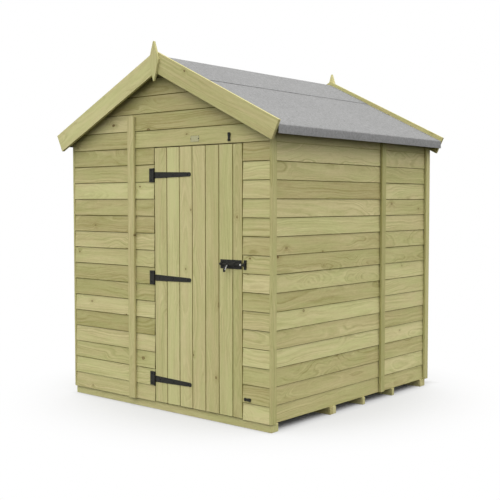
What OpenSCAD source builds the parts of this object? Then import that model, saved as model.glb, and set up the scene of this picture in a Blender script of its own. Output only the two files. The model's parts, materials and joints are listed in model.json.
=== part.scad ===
// Garden shed with lapped board walls, a felted apex roof and one ledged and braced door.
// Millimetres. X runs across the front, Y runs from front to back and Z is up.

/* [Walls] */
// Width over the corner strips
shed_w = 1700; // [1500:10:2000]
// Depth between the proud edges of the front and back boards
shed_d = 1750; // [1550:10:2000]
// Height of one course of lapped boards
course_h = 105; // [95:1:115]
// Height of the lowest course, which sits on the bearers
first_course_h = 99.5; // [90:0.5:110]
// Number of courses from the base up to the door head
door_courses = 15; // [14:1:16]
// Number of courses between the door head and the bottom of the gable triangle
head_courses = 2; // [2:1:2]
// Depth of the cladding from the proud edges to the frame
clad_t = 20; // [16:1:26]
// How far the top of each board lies behind the edge above it
lap_step = 9; // [5:0.5:12]
// Offset of the front panel seam from the middle, to the left
seam_x = 269; // [200:1:320]
// Distance of the side panel seam from the front
side_seam = 1156; // [1000:1:1300]

/* [Framing] */
// Thickness of the framing timber, square to the wall
frame_t = 28; // [22:1:38]
// Width of the framing timber, along the wall
frame_w = 45; // [38:1:60]
// Gap between two posts at a panel seam
post_gap = 2; // [1:0.5:4]

/* [Base] */
// Height of the bearers
bearer_h = 47; // [40:1:70]
// Width of the bearers at the ends and at the floor seam
wide_bearer = 62; // [50:1:75]
// Width of the bearers between them
slim_bearer = 28; // [22:1:45]
// How far the bearers stop short of the corner strips
bearer_inset = 7; // [2:1:12]
// Distance of the front bearer from the front boards
front_bearer_y = 10; // [6:1:20]
// Distance of the rear bearer from the back boards
rear_bearer_y = 30; // [20:1:60]
// Middle of the doubled bearer under the floor seam, from the front
floor_seam = 605; // [500:1:700]
// Middle of the first slim bearer, from the front
slim_bearer_1 = 945; // [800:1:1000]
// Middle of the second slim bearer, from the front
slim_bearer_2 = 1298; // [1150:1:1400]
// Thickness of the floor
floor_t = 12; // [9:1:22]

/* [Roof] */
// Roof pitch in degrees
pitch = 26.1; // [22:0.1:30]
// Height of the top of the roof boards at the ridge
ridge_z = 2152; // [2100:1:2250]
// Distance of the eave edge from the middle
eave_x = 925; // [900:1:1100]
// Thickness of the roof boards
deck_t = 11; // [8:1:20]
// Thickness of one layer of felt
felt_t = 3; // [2:0.5:4]
// Fitting gap under the roof boards and under each layer of felt
roof_fit = 0.1; // [0.05:0.05:0.5]
// Width of the ridge felt on each slope
ridge_felt = 370; // [250:5:450]
// How far the felt turns down over the eave
felt_drop = 52; // [40:1:70]
// Depth of the roof battens
batten_h = 33; // [28:1:34]
// Distance of the purlin from the ridge, down the slope
purlin_s = 520; // [420:5:620]
// Roof overhang in front of the front boards, up to the bargeboards
front_overhang = 38; // [20:1:60]
// Roof overhang behind the back boards, up to the bargeboards
rear_overhang = 6; // [4:1:60]

/* [Bargeboards and finials] */
// Width of the bargeboards
barge_w = 116; // [90:1:140]
// Thickness of the bargeboards
barge_t = 18; // [14:1:25]
// How far the bargeboards stand above the roof boards
barge_lip = 29; // [10:1:40]
// How far the bargeboards reach past the eave edge
barge_past = 18; // [5:1:60]
// Height of the finial
finial_h = 237; // [200:1:280]
// Width of the finial at its widest
finial_w = 80; // [60:1:100]
// Distance from the finial's tip down to its widest place
finial_shoulder = 112; // [90:1:130]
// Width of the flat at each tip of the finial
finial_flat = 8; // [4:1:14]
// Thickness of the finial
finial_t = 14; // [10:1:20]
// How far the finial rises above the bargeboards
finial_rise = 56; // [50:1:90]

/* [Cover strips] */
// Thickness of the strips
strip_t = 15; // [10:1:20]
// Width of the strips over the front and back seams
front_strip_w = 56; // [40:1:70]
// Width of the strips on the side walls
side_strip_w = 46; // [38:1:60]
// How far the front and back strips stop below the gable triangle
strip_drop = 15; // [5:1:30]
// How far the side strips stop below the top of the side boards
side_strip_drop = 17; // [5:1:30]

/* [Door] */
// Width of the door
door_w = 706; // [600:1:740]
// Distance of the door's hinge edge from the middle, to the left
door_left = 70; // [30:1:80]
// Gap around the door
door_gap = 6; // [5:0.5:8]
// Thickness of the door boards
door_t = 14; // [12:0.5:15]
// Cover width of a door board; the last one is cut to the door
door_board_w = 106; // [85:1:130]
// Width of the V joint between door boards
vee_w = 5; // [3:0.5:8]
// Thickness of the ledges and braces behind the door boards
ledge_t = 22; // [16:1:28]
// Width of the ledges
ledge_w = 95; // [70:1:120]
// Width of the braces
brace_w = 70; // [50:1:90]
// How far the ledges stop short of the door edges
ledge_inset = 34; // [25:1:60]
// How far the posts and the head rail overlap the door opening as its stop
stop_lap = 12; // [8:1:16]

/* [Hinges] */
// Thickness of the hinge plates and straps
hinge_t = 2.5; // [2:0.1:4]
// Width of the hinge plate on the wall
plate_w = 42; // [30:1:50]
// Height of the hinge plate
plate_h = 85; // [70:1:100]
// Length of the strap from the knuckle to the tip
strap_l = 313; // [250:1:400]
// Height of the strap at the knuckle
strap_root = 40; // [30:1:50]
// Height of the strap at its round tip
strap_end = 24; // [16:1:30]
// Radius of the knuckles
knuckle_r = 4.5; // [3.5:0.1:6]
// Radius of the hinge pins
hinge_pin_r = 2.5; // [2:0.1:3]
// Running clearance at the pins and the bolt
run_gap = 0.4; // [0.3:0.1:0.6]
// Height of the lowest hinge's middle above the bottom of the door
hinge_low = 139; // [110:1:220]
// Distance between the hinges
hinge_step = 627; // [550:1:650]

/* [Bolt] */
// Height of the bolt above the bottom of the door
bolt_up = 876; // [700:1:1000]
// Length of the bolt plate
bolt_plate_l = 161; // [120:1:180]
// Height of the bolt plate
bolt_plate_h = 52; // [40:1:60]
// Distance of the bolt plate from the lock edge of the door
bolt_plate_edge = 1; // [0:1:20]
// Radius of the bolt
bolt_r = 6; // [5:0.5:8]
// Length of the bolt
bolt_l = 174; // [160:1:200]
// How far the drawn bolt reaches past the lock edge of the door
bolt_reach = 1; // [0:0.5:2]
// Width of each guide along the bolt
guide_w = 13; // [10:1:18]
// Wall round the bolt in the guides and the keep
guide_wall = 4; // [3:0.5:6]
// Distance of the handle from the lock edge of the door
handle_edge = 108; // [95:1:115]
// Width of the handle
handle_w = 13; // [8:1:18]
// Length of the handle below the bolt
handle_l = 34; // [24:1:45]
// Thickness of the handle
handle_t = 5; // [3:0.5:7]
// Width of the keep along the bolt
keep_w = 18; // [12:1:24]
// Height of the keep's plate
keep_h = 55; // [44:1:64]
// Distance of the keep from the edge of the door opening
keep_edge = 8; // [1:1:16]

/* [Turn buttons] */
// Reach of a turn button from its screw to its nose
button_l = 40; // [30:1:48]
// Radius of the round end of a turn button
button_r = 9; // [6:0.5:10]
// Width of a turn button beside its round end
neck_w = 10; // [8:0.5:12]
// Width of the nose of a turn button
nose_w = 17; // [12:1:20]
// Length of the straight sides of the nose
nose_l = 8; // [4:0.5:12]
// Bevel at the corners of the nose
nose_bevel = 3; // [1:0.5:4]
// Thickness of a turn button
button_t = 5; // [3:0.5:7]
// Distance of a button's screw from the edge of the door opening
button_edge = 20; // [16:0.5:28]
// Distance of the top button from the lock edge of the door
top_button_in = 95; // [60:1:200]
// Height of the bottom button above the bottom of the door
bottom_button_up = 114; // [80:1:180]
// Radius of the button screws
screw_r = 2.5; // [2:0.1:3]
// Radius of the button screws' heads
screw_head_r = 5; // [4:0.5:7]
// Height of the button screws' heads
screw_head_h = 3; // [2:0.5:4]
// How far the button screws go into the boards
screw_in = 14; // [11:0.5:18]

/* [Hidden] */
$fn = 48;
wood = [0.72, 0.70, 0.50];
pale_wood = [0.77, 0.74, 0.56];
felt_grey = [0.67, 0.67, 0.66];
black_iron = [0.15, 0.15, 0.16];

// Planes of the walls
half_w = shed_w / 2;
side_x = half_w - strip_t;
frame_x = side_x - clad_t;
front_reach = front_overhang + barge_t + finial_t;
rear_reach = rear_overhang + barge_t + finial_t;
front_y = -(shed_d + rear_reach - front_reach) / 2;
back_y = front_y + shed_d;
front_frame_y = front_y + clad_t;
back_frame_y = back_y - clad_t;

// Levels
floor_z = bearer_h + floor_t;
first_line = bearer_h + first_course_h;
function line_z(n) = n == 0 ? bearer_h : first_line + (n - 1) * course_h;
// Line under a height, counted in courses, and how far boards lie back behind a plate from z0 to z1
function line_under(z) = floor((z - first_line) / course_h);
function board_recess(z0, z1) = line_under(z1) > line_under(z0)
    ? 0
    : lap_step * ((z0 - first_line) / course_h - line_under(z0));
head_z = line_z(door_courses);
rail_top_z = floor_z + frame_w;
head_rail_z = head_z - stop_lap - door_gap;

// Roof planes: s runs down the slope from the ridge and n is square to the roof boards' top
tan_p = tan(pitch);
cos_p = cos(pitch);
sin_p = sin(pitch);
eave_s = eave_x / cos_p;
barge_x = eave_x + barge_past;
roof_y0 = front_y - front_overhang;
roof_y1 = back_y + rear_overhang;
under_z = ridge_z - (deck_t + roof_fit) / cos_p;
function roof_point(s, n) = [s * cos_p + n * sin_p, ridge_z - s * sin_p + n * cos_p];
function ridge_point(n) = [0, ridge_z + n / cos_p];
function under_at(x) = under_z - abs(x) * tan_p;
// Underside of the side top rails, which are bevelled to the roof boards
side_rail_z = under_at(frame_x) - frame_w;

// Further courses where a higher roof leaves room for them, and the lines where the walls and gables meet
roof_courses = max(0, floor((under_at(side_x) - line_z(door_courses + 1)) / course_h));
side_line = door_courses + 1 + roof_courses;
gable_line = door_courses + head_courses + roof_courses;
side_top_z = line_z(side_line);
gable_z = line_z(gable_line);
gable_courses = ceil((under_z - gable_z) / course_h);

// Door
door_right = door_w - door_left;
open_left = -door_left - door_gap;
open_right = door_right + door_gap;
door_bottom = bearer_h + door_gap;
door_top = head_z - door_gap;
door_back_y = front_y + door_t;
hinge_x = -door_left - door_gap / 2;
hinge_y = front_y - hinge_t - hinge_pin_r;
hinge_levels = [for (i = [0:2]) door_bottom + hinge_low + i * hinge_step];
bolt_z = door_bottom + bolt_up;
bolt_y = front_y - hinge_t - bolt_r - run_gap;
bolt_x1 = door_right + bolt_reach;
keep_x = open_right + keep_edge;
top_button = [door_right - top_button_in, head_z + button_edge];
bottom_button = [open_right + button_edge, door_bottom + bottom_button_up];
button_back_y = front_y - run_gap;

// Helpers: extrusions along X and Y of an outline drawn with its height upwards
module along_x(x0, x1) translate([x0, 0, 0]) rotate([90, 0, 90]) linear_extrude(x1 - x0) children();
module along_y(y0, y1) translate([0, y1, 0]) rotate([90, 0, 0]) linear_extrude(y1 - y0) children();
module block(low, high) translate(low) cube(high - low);
module both_sides() for (m = [0, 1]) mirror([m, 0, 0]) children();

// Outline of lapped boards from line n0 to line n1, with the proud edges on zero
module lapped_outline(n0, n1) {
    polygon(concat(
        [[clad_t, line_z(n0)]],
        [for (n = [n0:n1 - 1], p = [[0, line_z(n)], [lap_step, line_z(n + 1)]]) p],
        [[clad_t, line_z(n1)]]
    ));
}

// Everything under the roof boards, as wide as the walls
module under_roof() {
    eave_z = under_at(side_x);
    along_y(front_y - 1, back_y + 1)
        polygon([[-side_x, 0], [side_x, 0], [side_x, eave_z], [0, under_z], [-side_x, eave_z]]);
}

module front_panel(x0, x1, n0, n1) {
    color(wood) intersection() {
        translate([0, front_y, 0]) along_x(x0, x1) lapped_outline(n0, n1);
        under_roof();
    }
}

module back_panel(x0, x1, n0, n1) {
    color(wood) intersection() {
        translate([0, back_y, 0]) mirror([0, 1, 0]) along_x(x0, x1) lapped_outline(n0, n1);
        under_roof();
    }
}

// One panel of a side wall; side is 1 on the right and -1 on the left
module side_panel(side, y0, y1) {
    color(wood) scale([side, 1, 1]) translate([side_x, 0, 0]) mirror([1, 0, 0])
        along_y(y0, y1) lapped_outline(0, side_line);
}

// Base
module floor_bearers() {
    x1 = half_w - bearer_inset;
    rows = [
        [front_y + front_bearer_y + wide_bearer / 2, wide_bearer],
        [front_y + floor_seam, wide_bearer],
        [front_y + slim_bearer_1, slim_bearer],
        [front_y + slim_bearer_2, slim_bearer],
        [back_y - rear_bearer_y - wide_bearer / 2, wide_bearer]
    ];
    color(wood) for (row = rows) block([-x1, row[0] - row[1] / 2, 0], [x1, row[0] + row[1] / 2, bearer_h]);
}

module floor_boards() {
    color(pale_wood) block([-frame_x, front_frame_y, bearer_h], [frame_x, back_frame_y, floor_z]);
}

// Front wall, split beside and over the doorway
module front_cladding_left() front_panel(-side_x, -seam_x, 0, gable_line);
module front_cladding_hinge_side() front_panel(-seam_x, open_left, 0, door_courses);
module front_cladding_lock_side() front_panel(open_right, side_x, 0, door_courses);
module front_cladding_over_door() front_panel(-seam_x, side_x, door_courses, gable_line);
module front_gable() front_panel(-side_x, side_x, gable_line, gable_line + gable_courses);

// Back wall, with its seam on the other side
module back_cladding_left() back_panel(-side_x, seam_x, 0, gable_line);
module back_cladding_right() back_panel(seam_x, side_x, 0, gable_line);
module back_gable() back_panel(-side_x, side_x, gable_line, gable_line + gable_courses);

// Side walls, between the front and back cladding
module left_cladding_front() side_panel(-1, front_frame_y, front_y + side_seam);
module left_cladding_rear() side_panel(-1, front_y + side_seam, back_frame_y);
module right_cladding_front() side_panel(1, front_frame_y, front_y + side_seam);
module right_cladding_rear() side_panel(1, front_y + side_seam, back_frame_y);

// Posts of an end wall, given the left edge of each; one beside the corner ends at the corner of the frame
module end_posts(lefts, y0) {
    color(pale_wood) for (x = lefts)
        block([x, y0, rail_top_z], [min(x + frame_w, frame_x), y0 + frame_t, head_rail_z]);
}

module front_posts() {
    end_posts([
        -frame_x, -seam_x - post_gap / 2 - frame_w, -seam_x + post_gap / 2,
        open_left + stop_lap - frame_w, open_right - stop_lap, frame_x - frame_w
    ], front_frame_y);
}

module back_posts() {
    end_posts([
        -frame_x, (seam_x - frame_x - frame_w) / 2,
        seam_x - post_gap / 2 - frame_w, seam_x + post_gap / 2, frame_x - frame_w
    ], back_frame_y - frame_t);
}

// Posts of a side wall, between the end walls' posts
module side_posts(side) {
    y0 = front_frame_y + frame_t;
    y1 = back_frame_y - frame_t;
    seam = front_y + side_seam;
    lefts = [y0, (y0 + seam - frame_w) / 2, seam - post_gap / 2 - frame_w, seam + post_gap / 2, y1 - frame_w];
    color(pale_wood) scale([side, 1, 1]) for (y = lefts)
        block([frame_x - frame_t, y, rail_top_z], [frame_x, y + frame_w, side_rail_z]);
}
module left_posts() side_posts(-1);
module right_posts() side_posts(1);

module bottom_rails() {
    y0 = front_frame_y + frame_t;
    y1 = back_frame_y - frame_t;
    color(pale_wood) {
        block([-frame_x, front_frame_y, floor_z], [open_left + stop_lap, y0, rail_top_z]);
        block([open_right - stop_lap, front_frame_y, floor_z], [frame_x, y0, rail_top_z]);
        block([-frame_x, y1, floor_z], [frame_x, back_frame_y, rail_top_z]);
        both_sides() block([frame_x - frame_t, y0 + post_gap, floor_z], [frame_x, y1 - post_gap, rail_top_z]);
    }
}

// Head rails of the end walls, and side rails bevelled to carry the roof boards
module top_rails() {
    y0 = front_frame_y + frame_t;
    y1 = back_frame_y - frame_t;
    z1 = head_rail_z + frame_w;
    inner_x = frame_x - frame_t;
    color(pale_wood) {
        block([-frame_x, front_frame_y, head_rail_z], [frame_x, y0, z1]);
        block([-frame_x, y1, head_rail_z], [frame_x, back_frame_y, z1]);
        both_sides() along_y(y0 + post_gap, y1 - post_gap) polygon([
            [inner_x, side_rail_z], [frame_x, side_rail_z],
            [frame_x, under_at(frame_x)], [inner_x, under_at(inner_x)]
        ]);
    }
}

// Sloping rails inside a gable, under the roof boards
module gable_rail(y0) {
    drop = frame_w / cos_p;
    color(pale_wood) along_y(y0, y0 + frame_t) polygon([
        [-frame_x, under_at(frame_x)], [0, under_z], [frame_x, under_at(frame_x)],
        [frame_x, under_at(frame_x) - drop], [0, under_z - drop], [-frame_x, under_at(frame_x) - drop]
    ]);
}
module front_gable_rail() gable_rail(front_frame_y);
module back_gable_rail() gable_rail(back_frame_y - frame_t);

// Strips
module corner_strips() {
    z1 = side_top_z - side_strip_drop;
    color(wood) both_sides() {
        block([side_x, front_y, bearer_h], [half_w, front_y + side_strip_w, z1]);
        block([side_x, back_y - side_strip_w, bearer_h], [half_w, back_y, z1]);
    }
}

module cover_strips() {
    z1 = gable_z - strip_drop;
    half = front_strip_w / 2;
    y0 = front_y + side_seam - side_strip_w / 2;
    color(wood) {
        block([-seam_x - half, front_y - strip_t, bearer_h], [half - seam_x, front_y, z1]);
        block([seam_x - half, back_y, bearer_h], [seam_x + half, back_y + strip_t, z1]);
        both_sides() block([side_x, y0, bearer_h], [half_w, y0 + side_strip_w, side_top_z - side_strip_drop]);
    }
}

// Roof: boards, battens and felt, each drawn on the right slope
module roof_boards_right() {
    color(pale_wood) along_y(roof_y0, roof_y1)
        polygon([ridge_point(0), roof_point(eave_s, 0), roof_point(eave_s, -deck_t), ridge_point(-deck_t)]);
}
module roof_boards_left() mirror([1, 0, 0]) roof_boards_right();

module batten(s, y0, y1) {
    n1 = -deck_t - roof_fit;
    n0 = n1 - batten_h;
    color(pale_wood) along_y(y0, y1) polygon([
        roof_point(s, n0), roof_point(s + frame_t, n0), roof_point(s + frame_t, n1), roof_point(s, n1)
    ]);
}

// Eave batten outside the wall, and purlin and ridge batten between the gables
module roof_battens_right() {
    y0 = front_frame_y + frame_t;
    y1 = back_frame_y - frame_t;
    batten(eave_s - frame_t, roof_y0, roof_y1);
    batten(purlin_s, y0, y1);
    batten(frame_w, y0, y1);
}
module roof_battens_left() mirror([1, 0, 0]) roof_battens_right();

module felt_right() {
    n1 = roof_fit + felt_t;
    top = roof_point(eave_s + roof_fit + felt_t, n1);
    inner_x = top[0] - felt_t;
    foot = top[1] - felt_drop;
    color(felt_grey) along_y(roof_y0, roof_y1) polygon([
        ridge_point(roof_fit), ridge_point(n1), top, [top[0], foot], [inner_x, foot],
        roof_point((inner_x - roof_fit * sin_p) / cos_p, roof_fit)
    ]);
}

module felt_left() mirror([1, 0, 0]) felt_right();

module felt_ridge() {
    n0 = felt_t + 2 * roof_fit;
    n1 = n0 + felt_t;
    right = [roof_point(ridge_felt, n1), roof_point(ridge_felt, n0)];
    left = [for (p = [right[1], right[0]]) [-p[0], p[1]]];
    color(felt_grey) along_y(roof_y0, roof_y1)
        polygon(concat([ridge_point(n1)], right, [ridge_point(n0)], left));
}

// Bargeboards, mitred at the ridge and cut square at the eaves
module bargeboard(y0) {
    barge_s = (barge_x - barge_lip * sin_p) / cos_p;
    color(wood) along_y(y0, y0 + barge_t) polygon([
        ridge_point(barge_lip), roof_point(barge_s, barge_lip),
        roof_point(barge_s, barge_lip - barge_w), ridge_point(barge_lip - barge_w)
    ]);
}
module bargeboard_front_right() bargeboard(roof_y0 - barge_t);
module bargeboard_front_left() mirror([1, 0, 0]) bargeboard_front_right();
module bargeboard_rear_right() bargeboard(roof_y1);
module bargeboard_rear_left() mirror([1, 0, 0]) bargeboard_rear_right();

module finials() {
    tip = ridge_point(barge_lip)[1] + finial_rise;
    mid = tip - finial_shoulder;
    foot = tip - finial_h;
    f = finial_flat / 2;
    w = finial_w / 2;
    color(wood) for (y = [roof_y0 - barge_t - finial_t, roof_y1 + barge_t]) along_y(y, y + finial_t)
        polygon([[-f, tip], [f, tip], [w, mid], [f, foot], [-f, foot], [-w, mid]]);
}

// Door boards with a V joint between neighbours, on both faces
module door_boards() {
    v = vee_w / 2;
    joints = [for (x = [door_board_w:door_board_w:door_w - vee_w]) x - door_left];
    color(wood) difference() {
        block([-door_left, front_y, door_bottom], [door_right, door_back_y, door_top]);
        for (x = joints, y = [front_y, door_back_y]) translate([x, y, door_bottom - 1])
            linear_extrude(door_top - door_bottom + 2) polygon([[-v, 0], [0, -v], [v, 0], [0, v]]);
    }
}

// Three ledges and two braces, framed together behind the door boards
module door_ledges() {
    x0 = ledge_inset - door_left;
    x1 = door_right - ledge_inset;
    half = ledge_w / 2;
    color(pale_wood) along_y(door_back_y, door_back_y + ledge_t) {
        for (z = hinge_levels) translate([x0, z - half]) square([x1 - x0, ledge_w]);
        for (i = [0:1]) polygon([
            [x0, hinge_levels[i] + half], [x0 + brace_w, hinge_levels[i] + half],
            [x1, hinge_levels[i + 1] - half], [x1 - brace_w, hinge_levels[i + 1] - half]
        ]);
    }
}

// Hinges: the wall plate carries the pin and two knuckles, the strap has the knuckle between them
module upright(r, z0, z1) translate([hinge_x, hinge_y, z0]) cylinder(r = r, h = z1 - z0);

module hinge_plates() {
    color(black_iron) for (z = hinge_levels) {
        z0 = z - plate_h / 2;
        z1 = z + plate_h / 2;
        gap0 = z - strap_root / 2;
        gap1 = z + strap_root / 2;
        difference() {
            union() {
                block([hinge_x - plate_w, front_y - hinge_t, z0],
                    [hinge_x, front_y + board_recess(z0, z1), z1]);
                upright(knuckle_r, z0, gap0);
                upright(knuckle_r, gap1, z1);
            }
            block([hinge_x - knuckle_r - 1, hinge_y - knuckle_r - 1, gap0],
                [hinge_x + 1, front_y + lap_step, gap1]);
        }
        upright(hinge_pin_r, z0, z1);
    }
}

module hinge_straps() {
    tip_x = hinge_x + strap_l - strap_end / 2;
    root = strap_root / 2 - run_gap;
    end_r = strap_end / 2;
    color(black_iron) for (z = hinge_levels) difference() {
        union() {
            along_y(front_y - hinge_t, front_y) {
                polygon([[hinge_x, z - root], [tip_x, z - end_r], [tip_x, z + end_r], [hinge_x, z + root]]);
                translate([tip_x, z]) circle(r = end_r);
            }
            upright(knuckle_r, z - root, z + root);
        }
        upright(hinge_pin_r + run_gap, z - root - 1, z + root + 1);
    }
}

// Bolt
module bolt_rod(r, x0, x1) translate([x0, bolt_y, bolt_z]) rotate([0, 90, 0]) cylinder(r = r, h = x1 - x0);

// Bridge that holds the bolt, standing on a plate at front_y
module bolt_guide(x0, x1) {
    hole_r = bolt_r + run_gap;
    wall_r = hole_r + guide_wall;
    difference() {
        union() {
            intersection() {
                bolt_rod(wall_r, x0, x1);
                block([x0, bolt_y - 2 * wall_r, bolt_z - 2 * wall_r], [x1, bolt_y, bolt_z + 2 * wall_r]);
            }
            block([x0, bolt_y, bolt_z - wall_r], [x1, front_y, bolt_z + wall_r]);
        }
        bolt_rod(hole_r, x0 - 1, x1 + 1);
    }
}

module bolt_plate() {
    x1 = door_right - bolt_plate_edge;
    x0 = x1 - bolt_plate_l;
    half = bolt_plate_h / 2;
    color(black_iron) {
        block([x0, front_y - hinge_t, bolt_z - half], [x1, front_y, bolt_z + half]);
        bolt_guide(x0 + guide_w / 2, x0 + guide_w * 3 / 2);
        bolt_guide(x1 - guide_w * 3 / 2, x1 - guide_w / 2);
    }
}

module bolt_bar() {
    handle_x = door_right - handle_edge;
    end_r = handle_w / 2;
    y1 = bolt_y - bolt_r + 1;
    color(black_iron) {
        bolt_rod(bolt_r, bolt_x1 - bolt_l, bolt_x1);
        translate([handle_x, 0, bolt_z]) along_y(y1 - handle_t, y1) {
            translate([-end_r, end_r - handle_l]) square([handle_w, handle_l - end_r + bolt_r]);
            translate([0, end_r - handle_l]) circle(r = end_r);
        }
    }
}

module bolt_keep() {
    z0 = bolt_z - keep_h / 2;
    z1 = bolt_z + keep_h / 2;
    color(black_iron) {
        block([keep_x, front_y - hinge_t, z0], [keep_x + keep_w, front_y + board_recess(z0, z1), z1]);
        bolt_guide(keep_x, keep_x + keep_w);
    }
}

// Turn button with its screw hole on the origin, widening to its nose towards +Z
module turn_button() {
    half = nose_w / 2;
    side = [
        [neck_w / 2, 0], [half, button_l - nose_l - nose_bevel],
        [half, button_l - nose_bevel], [half - nose_bevel, button_l]
    ];
    color(black_iron) difference() {
        along_y(-button_t, 0) {
            circle(r = button_r);
            polygon(concat(side, [for (i = [3:-1:0]) [-side[i][0], side[i][1]]]));
        }
        rotate([90, 0, 0]) cylinder(r = screw_r + run_gap, h = 4 * button_t, center = true);
    }
}

module turn_button_top() translate([top_button[0], button_back_y, top_button[1]]) turn_button();

module turn_button_bottom() {
    translate([bottom_button[0], button_back_y, bottom_button[1]]) rotate([0, 90, 0]) turn_button();
}

module turn_button_screws() {
    head_y = button_back_y - button_t - run_gap;
    color(black_iron) for (place = [top_button, bottom_button]) translate([place[0], 0, place[1]]) {
        translate([0, front_y + screw_in, 0]) rotate([90, 0, 0])
            cylinder(r = screw_r, h = front_y + screw_in - head_y);
        translate([0, head_y, 0]) rotate([90, 0, 0]) cylinder(r = screw_head_r, h = screw_head_h);
    }
}

floor_bearers();
floor_boards();
front_cladding_left();
front_cladding_hinge_side();
front_cladding_lock_side();
front_cladding_over_door();
front_gable();
back_cladding_left();
back_cladding_right();
back_gable();
left_cladding_front();
left_cladding_rear();
right_cladding_front();
right_cladding_rear();
front_posts();
back_posts();
left_posts();
right_posts();
bottom_rails();
top_rails();
front_gable_rail();
back_gable_rail();
corner_strips();
cover_strips();
roof_boards_left();
roof_boards_right();
roof_battens_left();
roof_battens_right();
felt_left();
felt_right();
felt_ridge();
bargeboard_front_left();
bargeboard_front_right();
bargeboard_rear_left();
bargeboard_rear_right();
finials();
door_boards();
door_ledges();
hinge_plates();
hinge_straps();
bolt_plate();
bolt_bar();
bolt_keep();
turn_button_top();
turn_button_bottom();
turn_button_screws();
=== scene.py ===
"""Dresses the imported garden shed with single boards, framing, felt and ironwork, and sets up its studio."""

import json
import math
import random

import bmesh
import bpy
from mathutils import Matrix, Vector, noise


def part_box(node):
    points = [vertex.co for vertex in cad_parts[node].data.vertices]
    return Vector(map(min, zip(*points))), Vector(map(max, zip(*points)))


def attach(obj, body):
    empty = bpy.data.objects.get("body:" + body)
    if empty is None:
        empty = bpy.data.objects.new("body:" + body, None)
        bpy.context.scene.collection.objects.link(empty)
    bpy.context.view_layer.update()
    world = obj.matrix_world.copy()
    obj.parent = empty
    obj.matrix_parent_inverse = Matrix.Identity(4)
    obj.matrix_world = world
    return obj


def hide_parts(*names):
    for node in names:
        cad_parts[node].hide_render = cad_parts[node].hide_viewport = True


bl_info = {
    "name": "Garden Shed",
    "version": (1, 0, 0),
    "blender": (4, 5, 0),
    "location": "View3D > Sidebar > Shed",
    "description": "Builds the boards, framing, roof, door and ironwork of a wooden garden shed",
    "category": "Add Mesh",
}

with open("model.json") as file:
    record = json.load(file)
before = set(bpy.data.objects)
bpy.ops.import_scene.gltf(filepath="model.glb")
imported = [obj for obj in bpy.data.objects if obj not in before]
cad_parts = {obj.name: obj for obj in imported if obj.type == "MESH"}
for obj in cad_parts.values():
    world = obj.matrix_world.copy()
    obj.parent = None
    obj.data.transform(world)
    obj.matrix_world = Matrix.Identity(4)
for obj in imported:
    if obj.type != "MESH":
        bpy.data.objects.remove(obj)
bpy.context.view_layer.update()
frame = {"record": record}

# Planes and levels of the shed, in metres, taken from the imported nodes
FRONT_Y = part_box("front_cladding_left")[0].y
BACK_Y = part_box("back_cladding_left")[1].y
SIDE_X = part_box("right_cladding_front")[1].x
FRAME_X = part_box("top_rails")[1].x
FRONT_FRAME_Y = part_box("front_posts")[0].y
BACK_FRAME_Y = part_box("back_posts")[1].y
FRAME_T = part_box("front_posts")[1].y - FRONT_FRAME_Y
FRAME_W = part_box("bottom_rails")[1].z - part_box("bottom_rails")[0].z
FRONT_INSIDE = FRONT_FRAME_Y + FRAME_T
BACK_INSIDE = BACK_FRAME_Y - FRAME_T
FLOOR_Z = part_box("floor_boards")[1].z
RAIL_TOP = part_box("bottom_rails")[1].z
HEAD_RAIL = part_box("front_posts")[1].z
SEAM_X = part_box("front_cladding_left")[1].x
SIDE_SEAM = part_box("right_cladding_front")[1].y
OPEN_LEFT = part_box("front_cladding_hinge_side")[1].x
OPEN_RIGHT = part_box("front_cladding_lock_side")[0].x
BASE_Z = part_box("front_cladding_left")[0].z
HEAD_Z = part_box("front_cladding_over_door")[0].z
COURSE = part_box("front_gable")[0].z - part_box("right_cladding_front")[1].z
RIDGE_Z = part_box("roof_boards_right")[1].z
ROOF_Y0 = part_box("roof_boards_right")[0].y
ROOF_Y1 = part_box("roof_boards_right")[1].y
DOOR_LOW, DOOR_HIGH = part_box("door_boards")
JOINTS = {joint["name"]: joint for joint in frame["record"]["behaviour"]["joints"]}
HINGE_X, HINGE_Y, MIDDLE_HINGE = JOINTS["door_swing"]["pos_m"]
HINGE_SPACING = 0.627
HINGE_LEVELS = (MIDDLE_HINGE - HINGE_SPACING, MIDDLE_HINGE, MIDDLE_HINGE + HINGE_SPACING)
BUTTON_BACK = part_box("turn_button_top")[1].y
TOP_BUTTON = Vector(JOINTS["top_button_turn"]["pos_m"])
BOTTOM_BUTTON = Vector(JOINTS["bottom_button_turn"]["pos_m"])
TOP_BUTTON.y = BUTTON_BACK
BOTTOM_BUTTON.y = BUTTON_BACK

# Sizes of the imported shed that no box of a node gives
PITCH = math.radians(26.1)
DECK = 0.011
UNDER_DECK = -DECK - 0.0001
EAVE_S = 0.925 / math.cos(PITCH)
BARGE_LIP = 0.029
BARGE_W = 0.116
IRON_T = 0.0025
IRON_FACE = FRONT_Y - IRON_T
BOLT_R = 0.006
BOLT_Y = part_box("bolt_bar")[1].y - BOLT_R
BOLT_Z = (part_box("bolt_plate")[0].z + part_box("bolt_plate")[1].z) / 2

# Courses of lapped boards, counted from the ground: at the door's head, the eaves, the gables and the ridge
HEAD_COURSE, SIDE_COURSES, GABLE_COURSE, TOP_COURSE = 15, 16, 17, 20

# Tone of painted shade, given under each lap, along a board's lower edge, in the door's V joints and on the
# roof timbers out under the eave; and the tone at which painted shade starts, given as fainter painted shade
# to the top laps of the side walls; a clean board's tone is from 0 to 1
PAINTED_SHADE = -1.0
FAINT_PAINTED_SHADE = 0.0

X = Vector((1, 0, 0))
Y = Vector((0, 1, 0))
Z = Vector((0, 0, 1))
HANDS = (("left", -1), ("right", 1))
# Each wall: a point on the plane of its proud board edges, and the way to the right seen from outside
WALLS = {
    "front": (Vector((0, FRONT_Y, 0)), X),
    "right": (Vector((SIDE_X, 0, 0)), Y),
    "back": (Vector((0, BACK_Y, 0)), -X),
    "left": (Vector((-SIDE_X, 0, 0)), -Y),
}


def length_property(name, description, default):
    return bpy.props.FloatProperty(name=name, description=description, default=default, unit="LENGTH")


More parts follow.
